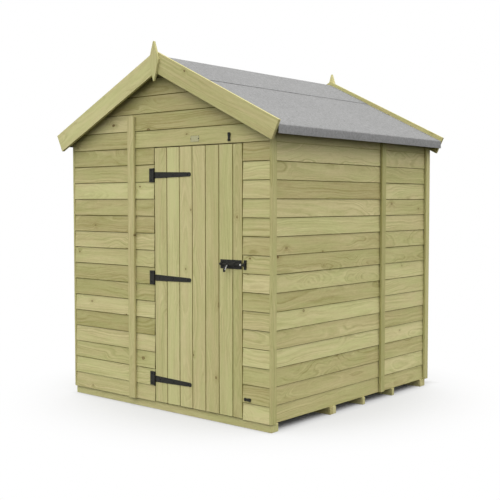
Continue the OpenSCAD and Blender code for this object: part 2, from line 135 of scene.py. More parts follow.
def colour_property(name, description, default):
    return bpy.props.FloatVectorProperty(
        name=name, description=description, default=default, size=3, min=0, max=1, subtype="COLOR"
    )


class ShedSizes(bpy.types.PropertyGroup):
    """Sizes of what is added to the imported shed."""

    board_t: length_property("Board Thickness", "Thickness of a lapped board", 0.0088)
    board_lap: length_property("Board Lap", "How far a board runs up behind the next", 0.02)
    lap_step: length_property("Lap Step", "How far a board leans back over one course", 0.005)
    # The dark line under each lap is painted shade
    lap_shade_line: length_property("Lap Line", "Width of the dark line under each lap", 0.0026)
    arris: length_property("Arris", "Rounding along the edges of timber", 0.0009)
    bow: length_property("Bow", "How far boards wander from straight", 0.0007)
    matchboard_w: length_property("Door Board", "Cover width of a door board", 0.106)
    vee: length_property("V Joint", "Chamfer along each door board", 0.0034)
    floor_board_w: length_property("Floor Board", "Cover width of a floor or roof board", 0.102)
    felt_t: length_property("Felt Thickness", "Thickness of one layer of felt", 0.003)
    nail_r: length_property("Nail Head", "Radius of a nail head", 0.0016)
    screw_r: length_property("Screw Head", "Radius of a hinge screw's head", 0.0042)


class ShedColours(bpy.types.PropertyGroup):
    """Linear colours of the shed's finishes."""

    timber_pale: colour_property("Pale Timber", "Early wood of the treated softwood", (0.575, 0.543, 0.272))
    timber_deep: colour_property("Deep Timber", "Late wood of the treated softwood", (0.320, 0.284, 0.105))
    inner_pale: colour_property("Pale Inner Timber", "Early wood of the framing", (0.600, 0.550, 0.310))
    inner_deep: colour_property("Deep Inner Timber", "Late wood of the framing", (0.370, 0.300, 0.135))
    knot: colour_property("Knot", "Heart of a knot", (0.140, 0.086, 0.022))
    felt_pale: colour_property("Pale Granules", "Light mineral granules of the felt", (0.278, 0.278, 0.275))
    felt_deep: colour_property("Dark Granules", "Dark mineral granules of the felt", (0.134, 0.134, 0.132))
    iron: colour_property("Black Iron", "Black coating of the ironwork", (0.0125, 0.0125, 0.0092))
    nail: colour_property("Nail", "Dull zinc of the nail heads", (0.300, 0.275, 0.140))
    plate: colour_property("Bare Plate", "Satin metal of the small plate", (0.395, 0.378, 0.205))


def sizes():
    return bpy.context.scene.shed_sizes


def colours():
    return bpy.context.scene.shed_colours


# Shader nodes


def add_node(tree, kind, feeds=None, **settings):
    """Adds a node, sets it up, and links or fills its inputs."""
    node = tree.nodes.new(kind)
    for key, value in settings.items():
        setattr(node, key, value)
    for socket, value in (feeds or {}).items():
        if isinstance(value, bpy.types.NodeSocket):
            tree.links.new(value, node.inputs[socket])
        else:
            node.inputs[socket].default_value = value
    return node


def maths(tree, operation, first, second=0.0, third=0.0):
    feeds = {0: first, 1: second, 2: third}
    return add_node(tree, "ShaderNodeMath", feeds, operation=operation).outputs[0]


def product(tree, first, second):
    return maths(tree, "MULTIPLY", first, second)


def weighted(tree, value, weight, base):
    """A base with a weighted value added to it."""
    return maths(tree, "MULTIPLY_ADD", value, weight, base)


def clamped(tree, value):
    return add_node(tree, "ShaderNodeClamp", {0: value}).outputs[0]


def stretched(tree, vector, factors):
    feeds = {0: vector, 1: factors}
    return add_node(tree, "ShaderNodeVectorMath", feeds, operation="MULTIPLY").outputs[0]


def vector_length(tree, vector):
    return add_node(tree, "ShaderNodeVectorMath", {0: vector}, operation="LENGTH").outputs["Value"]


def eased(tree, value, start, end, low=0.0, high=1.0):
    feeds = {0: value, 1: start, 2: end, 3: low, 4: high}
    return add_node(tree, "ShaderNodeMapRange", feeds, interpolation_type="SMOOTHSTEP").outputs[0]


def clouds(tree, vector, scale=1.0, detail=2.0, roughness=0.5):
    feeds = {"Vector": vector, "Scale": scale, "Detail": detail, "Roughness": roughness}
    return add_node(tree, "ShaderNodeTexNoise", feeds).outputs[0]


def grained(tree, grain, factors, detail=2.0, roughness=0.5):
    """Clouds at a number of puffs a metre along, across and into a board."""
    return clouds(tree, stretched(tree, grain, factors), detail=detail, roughness=roughness)


def blended(tree, factor, first, second, mode="MIX"):
    feeds = {0: factor, 6: first, 7: second}
    return add_node(tree, "ShaderNodeMix", feeds, data_type="RGBA", blend_type=mode).outputs[2]


def object_place(tree):
    return add_node(tree, "ShaderNodeTexCoord").outputs["Object"]


def attribute(tree, name, output):
    return add_node(tree, "ShaderNodeAttribute", attribute_name=name).outputs[output]


def shown_rays(tree, path):
    """1 for the rays that show something to the camera, directly or in metal and glass."""
    seen = maths(tree, "MAXIMUM", path["Is Camera Ray"], path["Is Glossy Ray"])
    return maths(tree, "MAXIMUM", seen, path["Is Transmission Ray"])


def new_group(name, inputs, outputs):
    """Makes a shader node group and returns it with the sockets of its inputs and outputs."""
    tree = bpy.data.node_groups.new(name, "ShaderNodeTree")
    for direction, sockets in (("INPUT", inputs), ("OUTPUT", outputs)):
        for label, kind in sockets.items():
            tree.interface.new_socket(label, in_out=direction, socket_type=f"NodeSocket{kind}")
    return tree, tree.nodes.new("NodeGroupInput").outputs, tree.nodes.new("NodeGroupOutput").inputs


def knot_marks(tree, grain, likely):
    """Knots: one chance in each cell of the face, most of them small and drawn out along the board."""
    spread = (2.6, 8.5, 0.0)
    cells = stretched(tree, grain, spread)
    feeds = {"Vector": cells, "Scale": 1.0, "Randomness": 0.9}
    branch = add_node(tree, "ShaderNodeTexVoronoi", feeds, voronoi_dimensions="2D").outputs
    feeds = {0: cells, 1: branch["Position"]}
    away = add_node(tree, "ShaderNodeVectorMath", feeds, operation="SUBTRACT").outputs[0]
    distance = vector_length(tree, stretched(tree, away, (0.72 / spread[0], 1.1 / spread[1], 0.0)))
    chance = add_node(tree, "ShaderNodeSeparateColor", {0: branch["Color"]}).outputs
    grows = maths(tree, "LESS_THAN", chance[0], likely)
    radius = weighted(tree, maths(tree, "POWER", chance[1], 4.0), 0.0105, 0.0042)
    ragged = grained(tree, grain, (90.0, 150.0, 150.0))
    reach = maths(tree, "DIVIDE", distance, radius)
    reach = weighted(tree, maths(tree, "SUBTRACT", ragged, 0.5), 1.1, reach)
    heart = product(tree, eased(tree, reach, 1.15, 0.75), grows)
    rim = product(tree, eased(tree, reach, 0.55, 0.95), eased(tree, reach, 1.35, 1.0))
    rim = product(tree, rim, grows)
    swing = product(tree, eased(tree, reach, 6.5, 0.5), grows)
    return heart, rim, swing, weighted(tree, chance[2], 0.5, 0.35)


def year_rings(tree, grain, swing):
    """Late wood of the rings round the pith, and bands of fast and slow years that flare on the face."""
    ring_width = 0.0080
    slow = grained(tree, grain, (1.9, 5.0, 5.0))
    quick = grained(tree, grain, (13.0, 55.0, 55.0), 3.0)
    wild = grained(tree, grain, (5.5, 10.0, 10.0), 1.0)
    where = grained(tree, grain, (1.7, 3.0, 5.0), 1.0)
    wild = product(tree, wild, eased(tree, where, 0.46, 0.66))
    along = add_node(tree, "ShaderNodeSeparateXYZ", {0: grain}).outputs[0]
    ring = vector_length(tree, stretched(tree, grain, (0.0, 1.0, 1.0)))
    for bend, strength in ((slow, 0.065), (quick, 0.009), (wild, 0.06), (swing, 0.018), (along, 0.012)):
        ring = weighted(tree, bend, strength, ring)
    age = maths(tree, "DIVIDE", ring, ring_width)
    season_part = maths(tree, "FRACT", age)
    late = product(tree, eased(tree, season_part, 0.10, 0.72), eased(tree, season_part, 1.0, 0.74))
    feeds = {"W": maths(tree, "FLOOR", age)}
    year = add_node(tree, "ShaderNodeTexWhiteNoise", feeds, noise_dimensions="1D").outputs["Value"]
    late = product(tree, late, weighted(tree, year, 0.85, 0.15))
    strong = grained(tree, grain, (2.4, 16.0, 16.0))
    late = product(tree, late, eased(tree, strong, 0.34, 0.62, 0.2, 1.0))
    feeds = {"W": ring, "Scale": 85.0, "Detail": 3.0, "Roughness": 0.6}
    bands = add_node(tree, "ShaderNodeTexNoise", feeds, noise_dimensions="1D").outputs[0]
    flame = maths(tree, "SUBTRACT", eased(tree, bands, 0.30, 0.70), 0.5)
    return late, product(tree, flame, eased(tree, strong, 0.36, 0.64, 0.15, 1.0))


def softwood_figure():
    """Rings, fibres and knots of a sawn softwood log, read in the plank's own axes."""
    if "softwood_figure" in bpy.data.node_groups:
        return bpy.data.node_groups["softwood_figure"]
    inputs = {"Grain": "Vector", "Tone": "Float", "Warmth": "Float", "Pale": "Color", "Deep": "Color"}
    inputs |= {"Knot": "Color", "Figure": "Float", "Knots": "Float", "Saw Marks": "Float"}
    outputs = {"Colour": "Color", "Roughness": "Float", "Height": "Float"}
    tree, given, result = new_group("softwood_figure", inputs, outputs)
    grain = given["Grain"]
    heart, rim, swing, bark = knot_marks(tree, grain, given["Knots"])
    late, flame = year_rings(tree, grain, swing)
    fibres = grained(tree, grain, (22.0, 700.0, 700.0), 3.0, 0.6)
    veins = grained(tree, grain, (8.0, 130.0, 130.0), 3.0, 0.65)
    streaks = grained(tree, grain, (1.4, 55.0, 55.0), 3.0, 0.6)
    patches = grained(tree, grain, (2.2, 12.0, 12.0), 3.0)
    flecks = grained(tree, grain, (38.0, 150.0, 150.0), 3.0, 0.7)
    blush = grained(tree, grain, (3.0, 17.0, 23.0), 4.0, 0.65)
    saw = grained(tree, grain, (520.0, 9.0, 9.0))

    depth = weighted(tree, given["Tone"], -0.70, 0.73)
    for band in (late, flame):
        depth = weighted(tree, product(tree, band, given["Figure"]), 0.40, depth)
    parts = ((patches, 0.55), (streaks, 0.36), (veins, 0.42), (flecks, 0.42), (fibres, 0.30))
    for part, strength in parts:
        depth = weighted(tree, maths(tree, "SUBTRACT", part, 0.5), strength, depth)
    depth = clamped(tree, weighted(tree, swing, 0.22, depth))
    colour = blended(tree, depth, given["Pale"], given["Deep"])
    hue = weighted(tree, given["Warmth"], 0.30, eased(tree, blush, 0.28, 0.72))
    hue = weighted(tree, flame, -0.5, hue)
    tint = blended(tree, hue, (0.965, 1.0, 0.915, 1), (1.040, 0.985, 1.010, 1))
    colour = blended(tree, 1.0, colour, tint, "MULTIPLY")
    for mark in (heart, rim):
        colour = blended(tree, product(tree, mark, bark), colour, given["Knot"])
    # Tones under the start of the painted shade blend the colour towards dark olive: painted shade
    painted_shade_amount = eased(tree, given["Tone"], FAINT_PAINTED_SHADE, PAINTED_SHADE, 0.0, 0.88)
    colour = blended(tree, painted_shade_amount, colour, (0.088, 0.076, 0.0, 1))
    tree.links.new(colour, result["Colour"])

    rough = weighted(tree, fibres, 0.22, 0.60)
    tree.links.new(weighted(tree, late, -0.12, rough), result["Roughness"])
    height = weighted(tree, late, 0.35, product(tree, fibres, 0.6))
    height = weighted(tree, saw, given["Saw Marks"], height)
    tree.links.new(weighted(tree, rim, -0.3, height), result["Height"])
    return tree


def fine_mottle():
    """Small unevenness of a metal's coating: a mask of thin places, a roughness and a height."""
    if "fine_mottle" in bpy.data.node_groups:
        return bpy.data.node_groups["fine_mottle"]
    inputs = {"Place": "Vector", "Scale": "Float"}
    outputs = {"Mask": "Float", "Roughness": "Float", "Height": "Float"}
    tree, given, result = new_group("fine_mottle", inputs, outputs)
    broad = clouds(tree, given["Place"], scale=given["Scale"], detail=3.0)
    peel = clouds(tree, given["Place"], scale=product(tree, given["Scale"], 9.0))
    tree.links.new(eased(tree, broad, 0.42, 0.72), result["Mask"])
    tree.links.new(weighted(tree, broad, 0.3, 0.27), result["Roughness"])
    tree.links.new(weighted(tree, peel, 0.5, broad), result["Height"])
    return tree


def new_material(name):
    material = bpy.data.materials.new(name)
    material.use_nodes = True
    return material, material.node_tree, material.node_tree.nodes["Principled BSDF"]


def raise_surface(tree, shader, height, strength, distance):
    feeds = {"Height": height, "Strength": strength, "Distance": distance}
    tree.links.new(add_node(tree, "ShaderNodeBump", feeds).outputs[0], shader.inputs["Normal"])


def timber(name, pale, deep, figure, knots, saw_marks):
    """Softwood finish that follows each plank's own grain."""
    if name in bpy.data.materials:
        return bpy.data.materials[name]
    material, tree, shader = new_material(name)
    feeds = {
        "Grain": attribute(tree, "grain", "Vector"),
        "Tone": attribute(tree, "tone", "Fac"),
        "Warmth": attribute(tree, "warmth", "Fac"),
        "Pale": (*pale, 1),
        "Deep": (*deep, 1),
        "Knot": (*colours().knot, 1),
        "Figure": figure,
        "Knots": knots,
        "Saw Marks": saw_marks,
    }
    wood = add_node(tree, "ShaderNodeGroup", feeds, node_tree=softwood_figure()).outputs
    tree.links.new(wood["Colour"], shader.inputs["Base Color"])
    tree.links.new(wood["Roughness"], shader.inputs["Roughness"])
    shader.inputs["Specular IOR Level"].default_value = 0.3
    raise_surface(tree, shader, wood["Height"], 0.35, 0.0006)
    return material


def lapped_timber():
    return timber("lapped_timber", colours().timber_pale, colours().timber_deep, 0.9, 0.34, 0.25)


def planed_timber():
    return timber("planed_timber", colours().timber_pale, colours().timber_deep, 0.65, 0.22, 0.05)


def matchboard_timber():
    return timber("matchboard_timber", colours().timber_pale, colours().timber_deep, 0.75, 0.26, 0.05)


def framing_timber():
    return timber("framing_timber", colours().inner_pale, colours().inner_deep, 0.7, 0.3, 0.1)


def mineral_felt():
    """Grey mineral granules bedded in roofing felt."""
    if "mineral_felt" in bpy.data.materials:
        return bpy.data.materials["mineral_felt"]
    material, tree, shader = new_material("mineral_felt")
    place = object_place(tree)
    granules = add_node(tree, "ShaderNodeTexVoronoi", {"Vector": place, "Scale": 620.0}).outputs
    shade = add_node(tree, "ShaderNodeSeparateColor", {0: granules["Color"]}).outputs[0]
    drift = clouds(tree, place, scale=58.0, detail=4.0, roughness=0.75)
    patch = clouds(tree, place, scale=3.2, detail=3.0)
    depth = weighted(tree, shade, 0.55, -0.05)
    depth = weighted(tree, drift, 1.7, maths(tree, "SUBTRACT", depth, 0.57))
    depth = clamped(tree, weighted(tree, maths(tree, "SUBTRACT", patch, 0.5), 0.22, depth))
    colour = blended(tree, depth, (*colours().felt_pale, 1), (*colours().felt_deep, 1))
    tree.links.new(colour, shader.inputs["Base Color"])
    tree.links.new(weighted(tree, shade, 0.12, 0.84), shader.inputs["Roughness"])
    shader.inputs["Specular IOR Level"].default_value = 0.35
    raise_surface(tree, shader, weighted(tree, granules["Distance"], -0.8, drift), 0.5, 0.0008)
    return material


def metal(name, tint, metallic, gloss, scale, wear, height):
    """Coated or plain metal with small unevenness."""
    if name in bpy.data.materials:
        return bpy.data.materials[name]
    material, tree, shader = new_material(name)
    feeds = {"Place": object_place(tree), "Scale": scale}
    mottle = add_node(tree, "ShaderNodeGroup", feeds, node_tree=fine_mottle()).outputs
    wear_and_glint = [min(1.0, part * wear + 0.004) for part in tint]
    colour = blended(tree, mottle["Mask"], (*tint, 1), (*wear_and_glint, 1))
    tree.links.new(colour, shader.inputs["Base Color"])
    tree.links.new(mottle["Roughness"], shader.inputs["Roughness"])
    shader.inputs["Metallic"].default_value = metallic
    shader.inputs["Specular IOR Level"].default_value = gloss
    raise_surface(tree, shader, mottle["Height"], height, 0.0003)
    return material


def black_iron():
    return metal("black_satin", colours().iron, 0.0, 0.22, 85.0, 1.7, 0.25)


# Dark screw heads, also used for the painted shadow round the bare plate
def dark_screws():
    return metal("dark_screws", [part * 0.3 for part in colours().iron], 0.0, 0.12, 85.0, 1.4, 0.2)


# Bright bare steel for the bolt's painted highlights
def worn_steel():
    return metal("worn_steel", (0.90, 0.90, 0.88), 1.0, 0.5, 300.0, 1.05, 0.1)


def dull_nails():
    return metal("dull_nails", colours().nail, 0.3, 0.3, 240.0, 1.5, 0.2)


def satin_plate():
    return metal("satin_plate", colours().plate, 0.0, 0.4, 130.0, 1.12, 0.12)


# Steps of modelling


def deselect():
    bpy.ops.object.select_all(action="DESELECT")


def take(piece):
    """Makes a piece the active one, selected alone."""
    deselect()
    piece.select_set(True)
    bpy.context.view_layer.objects.active = piece


def edit_mode():
    bpy.ops.object.mode_set(mode="EDIT")


def object_mode():
    bpy.ops.object.mode_set(mode="OBJECT")


def pick_all():
    bpy.ops.mesh.select_all(action="SELECT")


def pick(kind, test):
    """Selects the vertices, edges or faces of the piece in edit mode that pass a test."""
    bpy.ops.mesh.select_mode(type=kind)
    bpy.ops.mesh.select_all(action="DESELECT")
    mesh = bmesh.from_edit_mesh(bpy.context.edit_object.data)
    parts = {"VERT": mesh.verts, "EDGE": mesh.edges, "FACE": mesh.faces}[kind]
    for part in parts:
        if test(part):
            part.select_set(True)
    mesh.select_flush_mode()
    bmesh.update_edit_mesh(bpy.context.edit_object.data)


def pick_placed(kind, test):
    """Selects what has all of its vertices in places that pass a test."""
    pick(kind, lambda part: all(test(vertex.co) for vertex in getattr(part, "verts", [part])))


def runs_along(edge, axis, shortest):
    line = edge.verts[1].co - edge.verts[0].co
    return line.length > shortest and abs(line.normalized()[axis]) > 0.999


def bevel(offset, segments, affect="EDGES"):
    bpy.ops.mesh.bevel(offset=offset, segments=segments, affect=affect)


def extrude(x, y, z):
    bpy.ops.mesh.extrude_region_move(TRANSFORM_OT_translate={"value": (x, y, z)})


def point_outwards():
    pick_all()
    bpy.ops.mesh.normals_make_consistent(inside=False)


def apply_place(piece):
    take(piece)
    bpy.ops.object.transform_apply(location=True, rotation=True, scale=True)


def start_block(size, middle):
    """A block to shape, in edit mode."""
    deselect()
    bpy.ops.mesh.primitive_cube_add(size=1, location=middle)
    piece = bpy.context.object
    piece.scale = size
    apply_place(piece)
    edit_mode()
    return piece


def start_sheet(width, height, middle=(0, 0, 0)):
    """A flat rectangle to shape, in edit mode."""
    deselect()
    bpy.ops.mesh.primitive_plane_add(size=1, location=middle)
    piece = bpy.context.object
    piece.scale = (width, height, 1)
    apply_place(piece)
    edit_mode()
    return piece


def raise_plate(thick):
    """Makes a plate of the flat outline in edit mode."""
    pick_all()
    extrude(0, 0, thick)
    point_outwards()


def soften(piece, width, segments, angle):
    """Rounds the edges of a finished piece that turn by more than an angle in degrees."""
    soft = piece.modifiers.new("edges", "BEVEL")
    soft.width = width
    soft.segments = segments
    soft.limit_method = "ANGLE"
    soft.angle_limit = math.radians(angle)
    bpy.ops.object.modifier_apply(modifier=soft.name)


def give_thickness(piece, thick, offset):
    solid = piece.modifiers.new("thickness", "SOLIDIFY")
    solid.thickness = thick
    solid.offset = offset
    bpy.ops.object.modifier_apply(modifier=solid.name)


def twin(piece):
    """A copy with its own mesh."""
    copy = piece.copy()
    copy.data = piece.data.copy()
    bpy.context.collection.objects.link(copy)
    return copy


def moved(piece, place):
    piece.data.transform(Matrix.Translation(place))
    return piece


def discard(piece):
    mesh = piece.data
    bpy.data.objects.remove(piece)
    bpy.data.meshes.remove(mesh)


def axes_matrix(along, across, out, origin):
    matrix = Matrix((along, across, out)).transposed().to_4x4()
    matrix.translation = origin
    return matrix


def on_face(piece, point, out, up=Z):
    """Moves a piece made on the origin, with its face to +Z, onto a face of the shed."""
    out = Vector(out).normalized()
    across = Vector(up) - out * out.dot(up)
    across.normalize()
    piece.data.transform(axes_matrix(across.cross(out), across, out, Vector(point)))
    return piece


def trim(piece, point, normal):
    """Cuts off what lies beyond a plane and closes the cut."""
    reach = max((vertex.co - Vector(point)).dot(normal) for vertex in piece.data.vertices)
    if reach < 1e-5:
        return
    take(piece)
    edit_mode()
    pick_all()
    bpy.ops.mesh.bisect(plane_co=point, plane_no=normal, use_fill=True, clear_outer=True)
    object_mode()


def join(pieces, name):
    """Makes one piece of several, smooth across small angles."""
    deselect()
    for piece in pieces:
        piece.select_set(True)
    bpy.context.view_layer.objects.active = pieces[0]
    if len(pieces) > 1:
        bpy.ops.object.join()
    whole = bpy.context.object
    bpy.ops.object.shade_smooth_by_angle(angle=math.radians(20))
    whole.name = name
    whole.data.name = name
    return whole


def dress(pieces, name, material, body, slot, *nodes):
    """Joins pieces, gives the whole its material and its body, and hides the nodes that it stands for."""
    whole = join(pieces, name)
    whole.data.materials.clear()
    whole.data.materials.append(material)
    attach(whole, body)
    if nodes:
        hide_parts(*nodes)


# Timbers


def plank(size, arris=None, cuts=0, chamfer=0.0):
    """One board from the origin: length along X, width along Y, thickness along Z, with eased edges."""

    def is_long(edge):
        return runs_along(edge, 0, size[0] / 2)

    board = start_block(size, Vector(size) / 2)
    if chamfer:
        pick("EDGE", is_long)
        bevel(chamfer, 1)
    else:
        pick_all()
        bevel(arris or sizes().arris, 2)
    if cuts:
        pick("EDGE", is_long)
        bpy.ops.mesh.subdivide(number_cuts=cuts)
    object_mode()
    return board


def paint(mesh, name, value):
    """Gives all vertices of a mesh one value of a new attribute."""
    values = [value] * len(mesh.vertices)
    mesh.attributes.new(name, "FLOAT", "POINT").data.foreach_set("value", values)


def season(board, rng, bow=0.0, tone=None, past=0.0):
    """Gives a plank in its own axes a bow, a place in its log and a tone."""
    mesh = board.data
    points = [vertex.co.copy() for vertex in mesh.vertices]
    width = max(point.y for point in points)
    start = rng.uniform(0, 60)
    pith = Vector((-start - past, rng.uniform(-0.05, width + 0.05), -rng.uniform(0.012, 0.085)))
    lean = rng.uniform(-bow, bow)
    grain = []
    for vertex, point in zip(mesh.vertices, points):
        grain.extend(point - pith)
        wander = noise.noise(Vector((point.x * 1.6 + start, start * 3.1, 0)))
        drift = noise.noise(Vector((point.x * 1.1 + start, 0, start * 1.7)))
        vertex.co.z += bow * wander + lean
        vertex.co.y += 0.8 * bow * drift
    mesh.attributes.new("grain", "FLOAT_VECTOR", "POINT").data.foreach_set("vector", grain)
    paint(mesh, "tone", rng.uniform(0, 1) if tone is None else tone)
    paint(mesh, "warmth", rng.uniform(-1, 1))


# Gives some vertices of a board a tone; a tone below zero paints shade
def darken(board, indices, tone=PAINTED_SHADE):
    tones = board.data.attributes["tone"].data
    for index in indices:
        tones[index].value = tone


def bar(low, high, axis, rng, arris=None, bow=0.0, chamfer=0.0, tone=None):
    """A plank between two corners with its grain along one axis of the shed."""
    cut_spacing = 0.16
    span = Vector(high) - Vector(low)
    turns = {"X": (0, 1, 2), "Y": (1, 2, 0), "Z": (2, 0, 1)}[axis]
    size = [span[turn] for turn in turns]
    cuts = int(size[0] / cut_spacing) if bow else 0
    board = plank(size, arris, cuts, chamfer)
    season(board, rng, bow, tone)
    axes = [(X, Y, Z)[turn] for turn in turns]
    board.data.transform(axes_matrix(*axes, Vector(low)))
    return board


# Ironwork and fasteners that more than one piece has


def rod(radius, start, end, vertices=24, ease=0.0):
    """A round bar between two points, with eased ends."""
    start = Vector(start)
    line = Vector(end) - start
    half = line.length / 2
    deselect()
    bpy.ops.mesh.primitive_cylinder_add(vertices=vertices, radius=radius, depth=line.length)
    piece = bpy.context.object
    edit_mode()
    if ease:
        pick_placed("EDGE", lambda place: abs(abs(place.z) - half) < 1e-6)
        bevel(ease, 2)
    object_mode()
    turn = line.to_track_quat("Z", "Y").to_matrix().to_4x4()
    piece.data.transform(Matrix.Translation(start + line / 2) @ turn)
    return piece


def nail_head():
    """Flat round nail head, slightly proud of its face."""
    radius = sizes().nail_r
    head = rod(radius, (0, 0, -0.0006), (0, 0, 0.0005), vertices=8)
    take(head)
    edit_mode()
    pick_placed("EDGE", lambda place: place.z > 0)
    bevel(radius * 0.25, 1)
    object_mode()
    return head


def screw_head(radius):
    """Round screw head with a dished recess."""
    head = rod(radius, (0, 0, -0.0008), (0, 0, 0.0016), vertices=16)
    take(head)
    edit_mode()
    pick_placed("EDGE", lambda place: place.z > 0.001)
    bevel(radius * 0.38, 3)
    pick("FACE", lambda face: face.normal.z > 0.99 and len(face.verts) > 8)
    bpy.ops.mesh.inset(thickness=radius * 0.2)
    extrude(0, 0, -0.0009)
    bpy.ops.transform.resize(value=(0.4, 0.4, 1), center_override=(0, 0, 0))
    object_mode()
    return head


def eased_plate(low, high):
    """A thin iron plate between two corners, with eased edges."""
    return moved(plank(Vector(high) - Vector(low), 0.0006), low)


def bridge(width, foot_w):
    """A strap bent over the bolt, made across X round the bolt's axis, with a foot on each side."""
    radius = 0.0079
    thick = 0.0026
    drop = IRON_FACE - BOLT_Y - thick / 2
    deselect()
    bpy.ops.mesh.primitive_circle_add(
        vertices=32, radius=radius, fill_type="NOTHING", rotation=(0, math.pi / 2, 0)
    )
    piece = bpy.context.object
    apply_place(piece)
    edit_mode()
    pick_placed("VERT", lambda place: place.y > 1e-4)
    bpy.ops.mesh.delete(type="VERT")
    for sign in (-1, 1):
        pick_placed("VERT", lambda place: place.y > -1e-4 and place.z * sign > 0)
        extrude(0, drop, 0)
        extrude(0, 0, sign * foot_w)
    pick_all()
    extrude(width, 0, 0)
    point_outwards()
    object_mode()
    give_thickness(piece, thick, 0)
    soften(piece, 0.0005, 2, 40)
    return piece


# Lines of the walls and the roof


def line_z(course):
    return BASE_Z if course == 0 else HEAD_Z + (course - HEAD_COURSE) * COURSE


def wall_point(wall, along, z):
    """A point on a wall, with its outward direction; along runs to the right seen from outside."""
    origin, right = WALLS[wall]
    return origin + right * along + Z * z, right.cross(Z)


def lap_tilt():
    """How far a whole course's board leans back, as an angle."""
    return math.atan2(sizes().lap_step, COURSE)


def under_roof(x):
    return RIDGE_Z + UNDER_DECK / math.cos(PITCH) - abs(x) * math.tan(PITCH)


def roof_normal(side):
    return Vector((side * math.sin(PITCH), 0, math.cos(PITCH)))


def down_slope(side):
    return Vector((side * math.cos(PITCH), 0, -math.sin(PITCH)))


def slope_matrix(side):
    """Axes of one slope: along the ridge, down the slope and off the roof boards."""
    return axes_matrix(-Y * side, down_slope(side), roof_normal(side), Vector((0, 0, RIDGE_Z)))


def trim_to_roof(piece):
    for side in (-1, 1):
        trim(piece, (0, 0, under_roof(0)), roof_normal(side))


def sloping_board(side, y0, y1, below, above, length, rng, tone=None):
    """A board that runs down one slope from a mitre at the ridge, between two depths off the roof boards."""
    past_ridge = 0.07
    along = down_slope(side) * side
    start = -past_ridge if side > 0 else -length
    board = plank((length + past_ridge, above - below, y1 - y0))
    season(board, rng, tone=tone)
    up = roof_normal(side)
    origin = Vector((0, y1, RIDGE_Z)) + along * start + up * below
    board.data.transform(axes_matrix(along, up, -Y, origin))
    trim(board, (0, 0, 0), X * -side)
    return board


def slope_bar(side, s0, s1, n0, n1, y0, y1, rng):
    """A timber along a slope of the roof, darkened with painted shade where it lies out under the eave."""
    board = plank((y1 - y0, s1 - s0, n1 - n0), 0.001)
    season(board, rng)
    start = -y1 if side > 0 else y0
    board.data.transform(slope_matrix(side) @ Matrix.Translation((start, s0, n0)))
    darken(board, [vertex.index for vertex in board.data.vertices if abs(vertex.co.x) > SIDE_X + 0.02])
    return board


def painted_shade_band(board, level):
    """Parts a plank at a level and finds what of its face lies above it, where the next board laps over it,
    or along its lower edge: the places that take painted shade.
    """
    take(board)
    edit_mode()
    for y in (level - 0.0008, level):
        pick_all()
        bpy.ops.mesh.bisect(plane_co=(0, y, 0), plane_no=(0, 1, 0))
    object_mode()
    edge = sizes().arris * 0.6
    middle = sizes().board_t / 2
    shaded_points = []
    for vertex in board.data.vertices:
        place = vertex.co
        if place.y < edge or (place.y > level - 0.0001 and place.z > middle):
            shaded_points.append(vertex.index)
    return shaded_points


def lapped_panel(name, node, wall, start, end, first, last, tones=(0, 1), seed=None, past=0.0):
    """One panel of lapped boards, from course first up to course last."""
    cut_spacing = 0.11
    most_short = 0.0012
    most_lift = 0.0008
    behind_edge = 0.0006
    right = WALLS[wall][1]
    rng = random.Random(seed or name)
    size = sizes()
    boards = []
    for course in range(first, last):
        rise = line_z(course + 1) - line_z(course)
        lean = math.atan2(size.lap_step, rise)
        face_w = rise / math.cos(lean)
        width = face_w + (size.board_lap if course + 1 < last else 0)
        short = [rng.uniform(0, most_short), rng.uniform(0, most_short)]
        length = end - start - sum(short)
        board = plank((length, width, size.board_t), cuts=max(2, int(length / cut_spacing)))
        shaded_points = painted_shade_band(board, face_w - size.lap_shade_line)
        season(board, rng, size.bow, rng.uniform(*tones), past)
        # Painted shade under each lap and along each lower edge, fainter for the top laps of the side walls
        # under the eave
        under_eave = wall in ("left", "right") and course > last - 3
        darken(board, shaded_points, FAINT_PAINTED_SHADE if under_eave else PAINTED_SHADE)
        foot, out = wall_point(wall, start + short[0], line_z(course) + rng.uniform(0, most_lift))
        up = (Z * math.cos(lean) - out * math.sin(lean)).normalized()
        face = right.cross(up)
        board.data.transform(axes_matrix(right, up, face, foot - face * (size.board_t + behind_edge)))
        if wall in ("front", "back") and course > HEAD_COURSE:
            trim_to_roof(board)
        boards.append(board)
    dress(boards, name, lapped_timber(), "shed", "cladding", node)


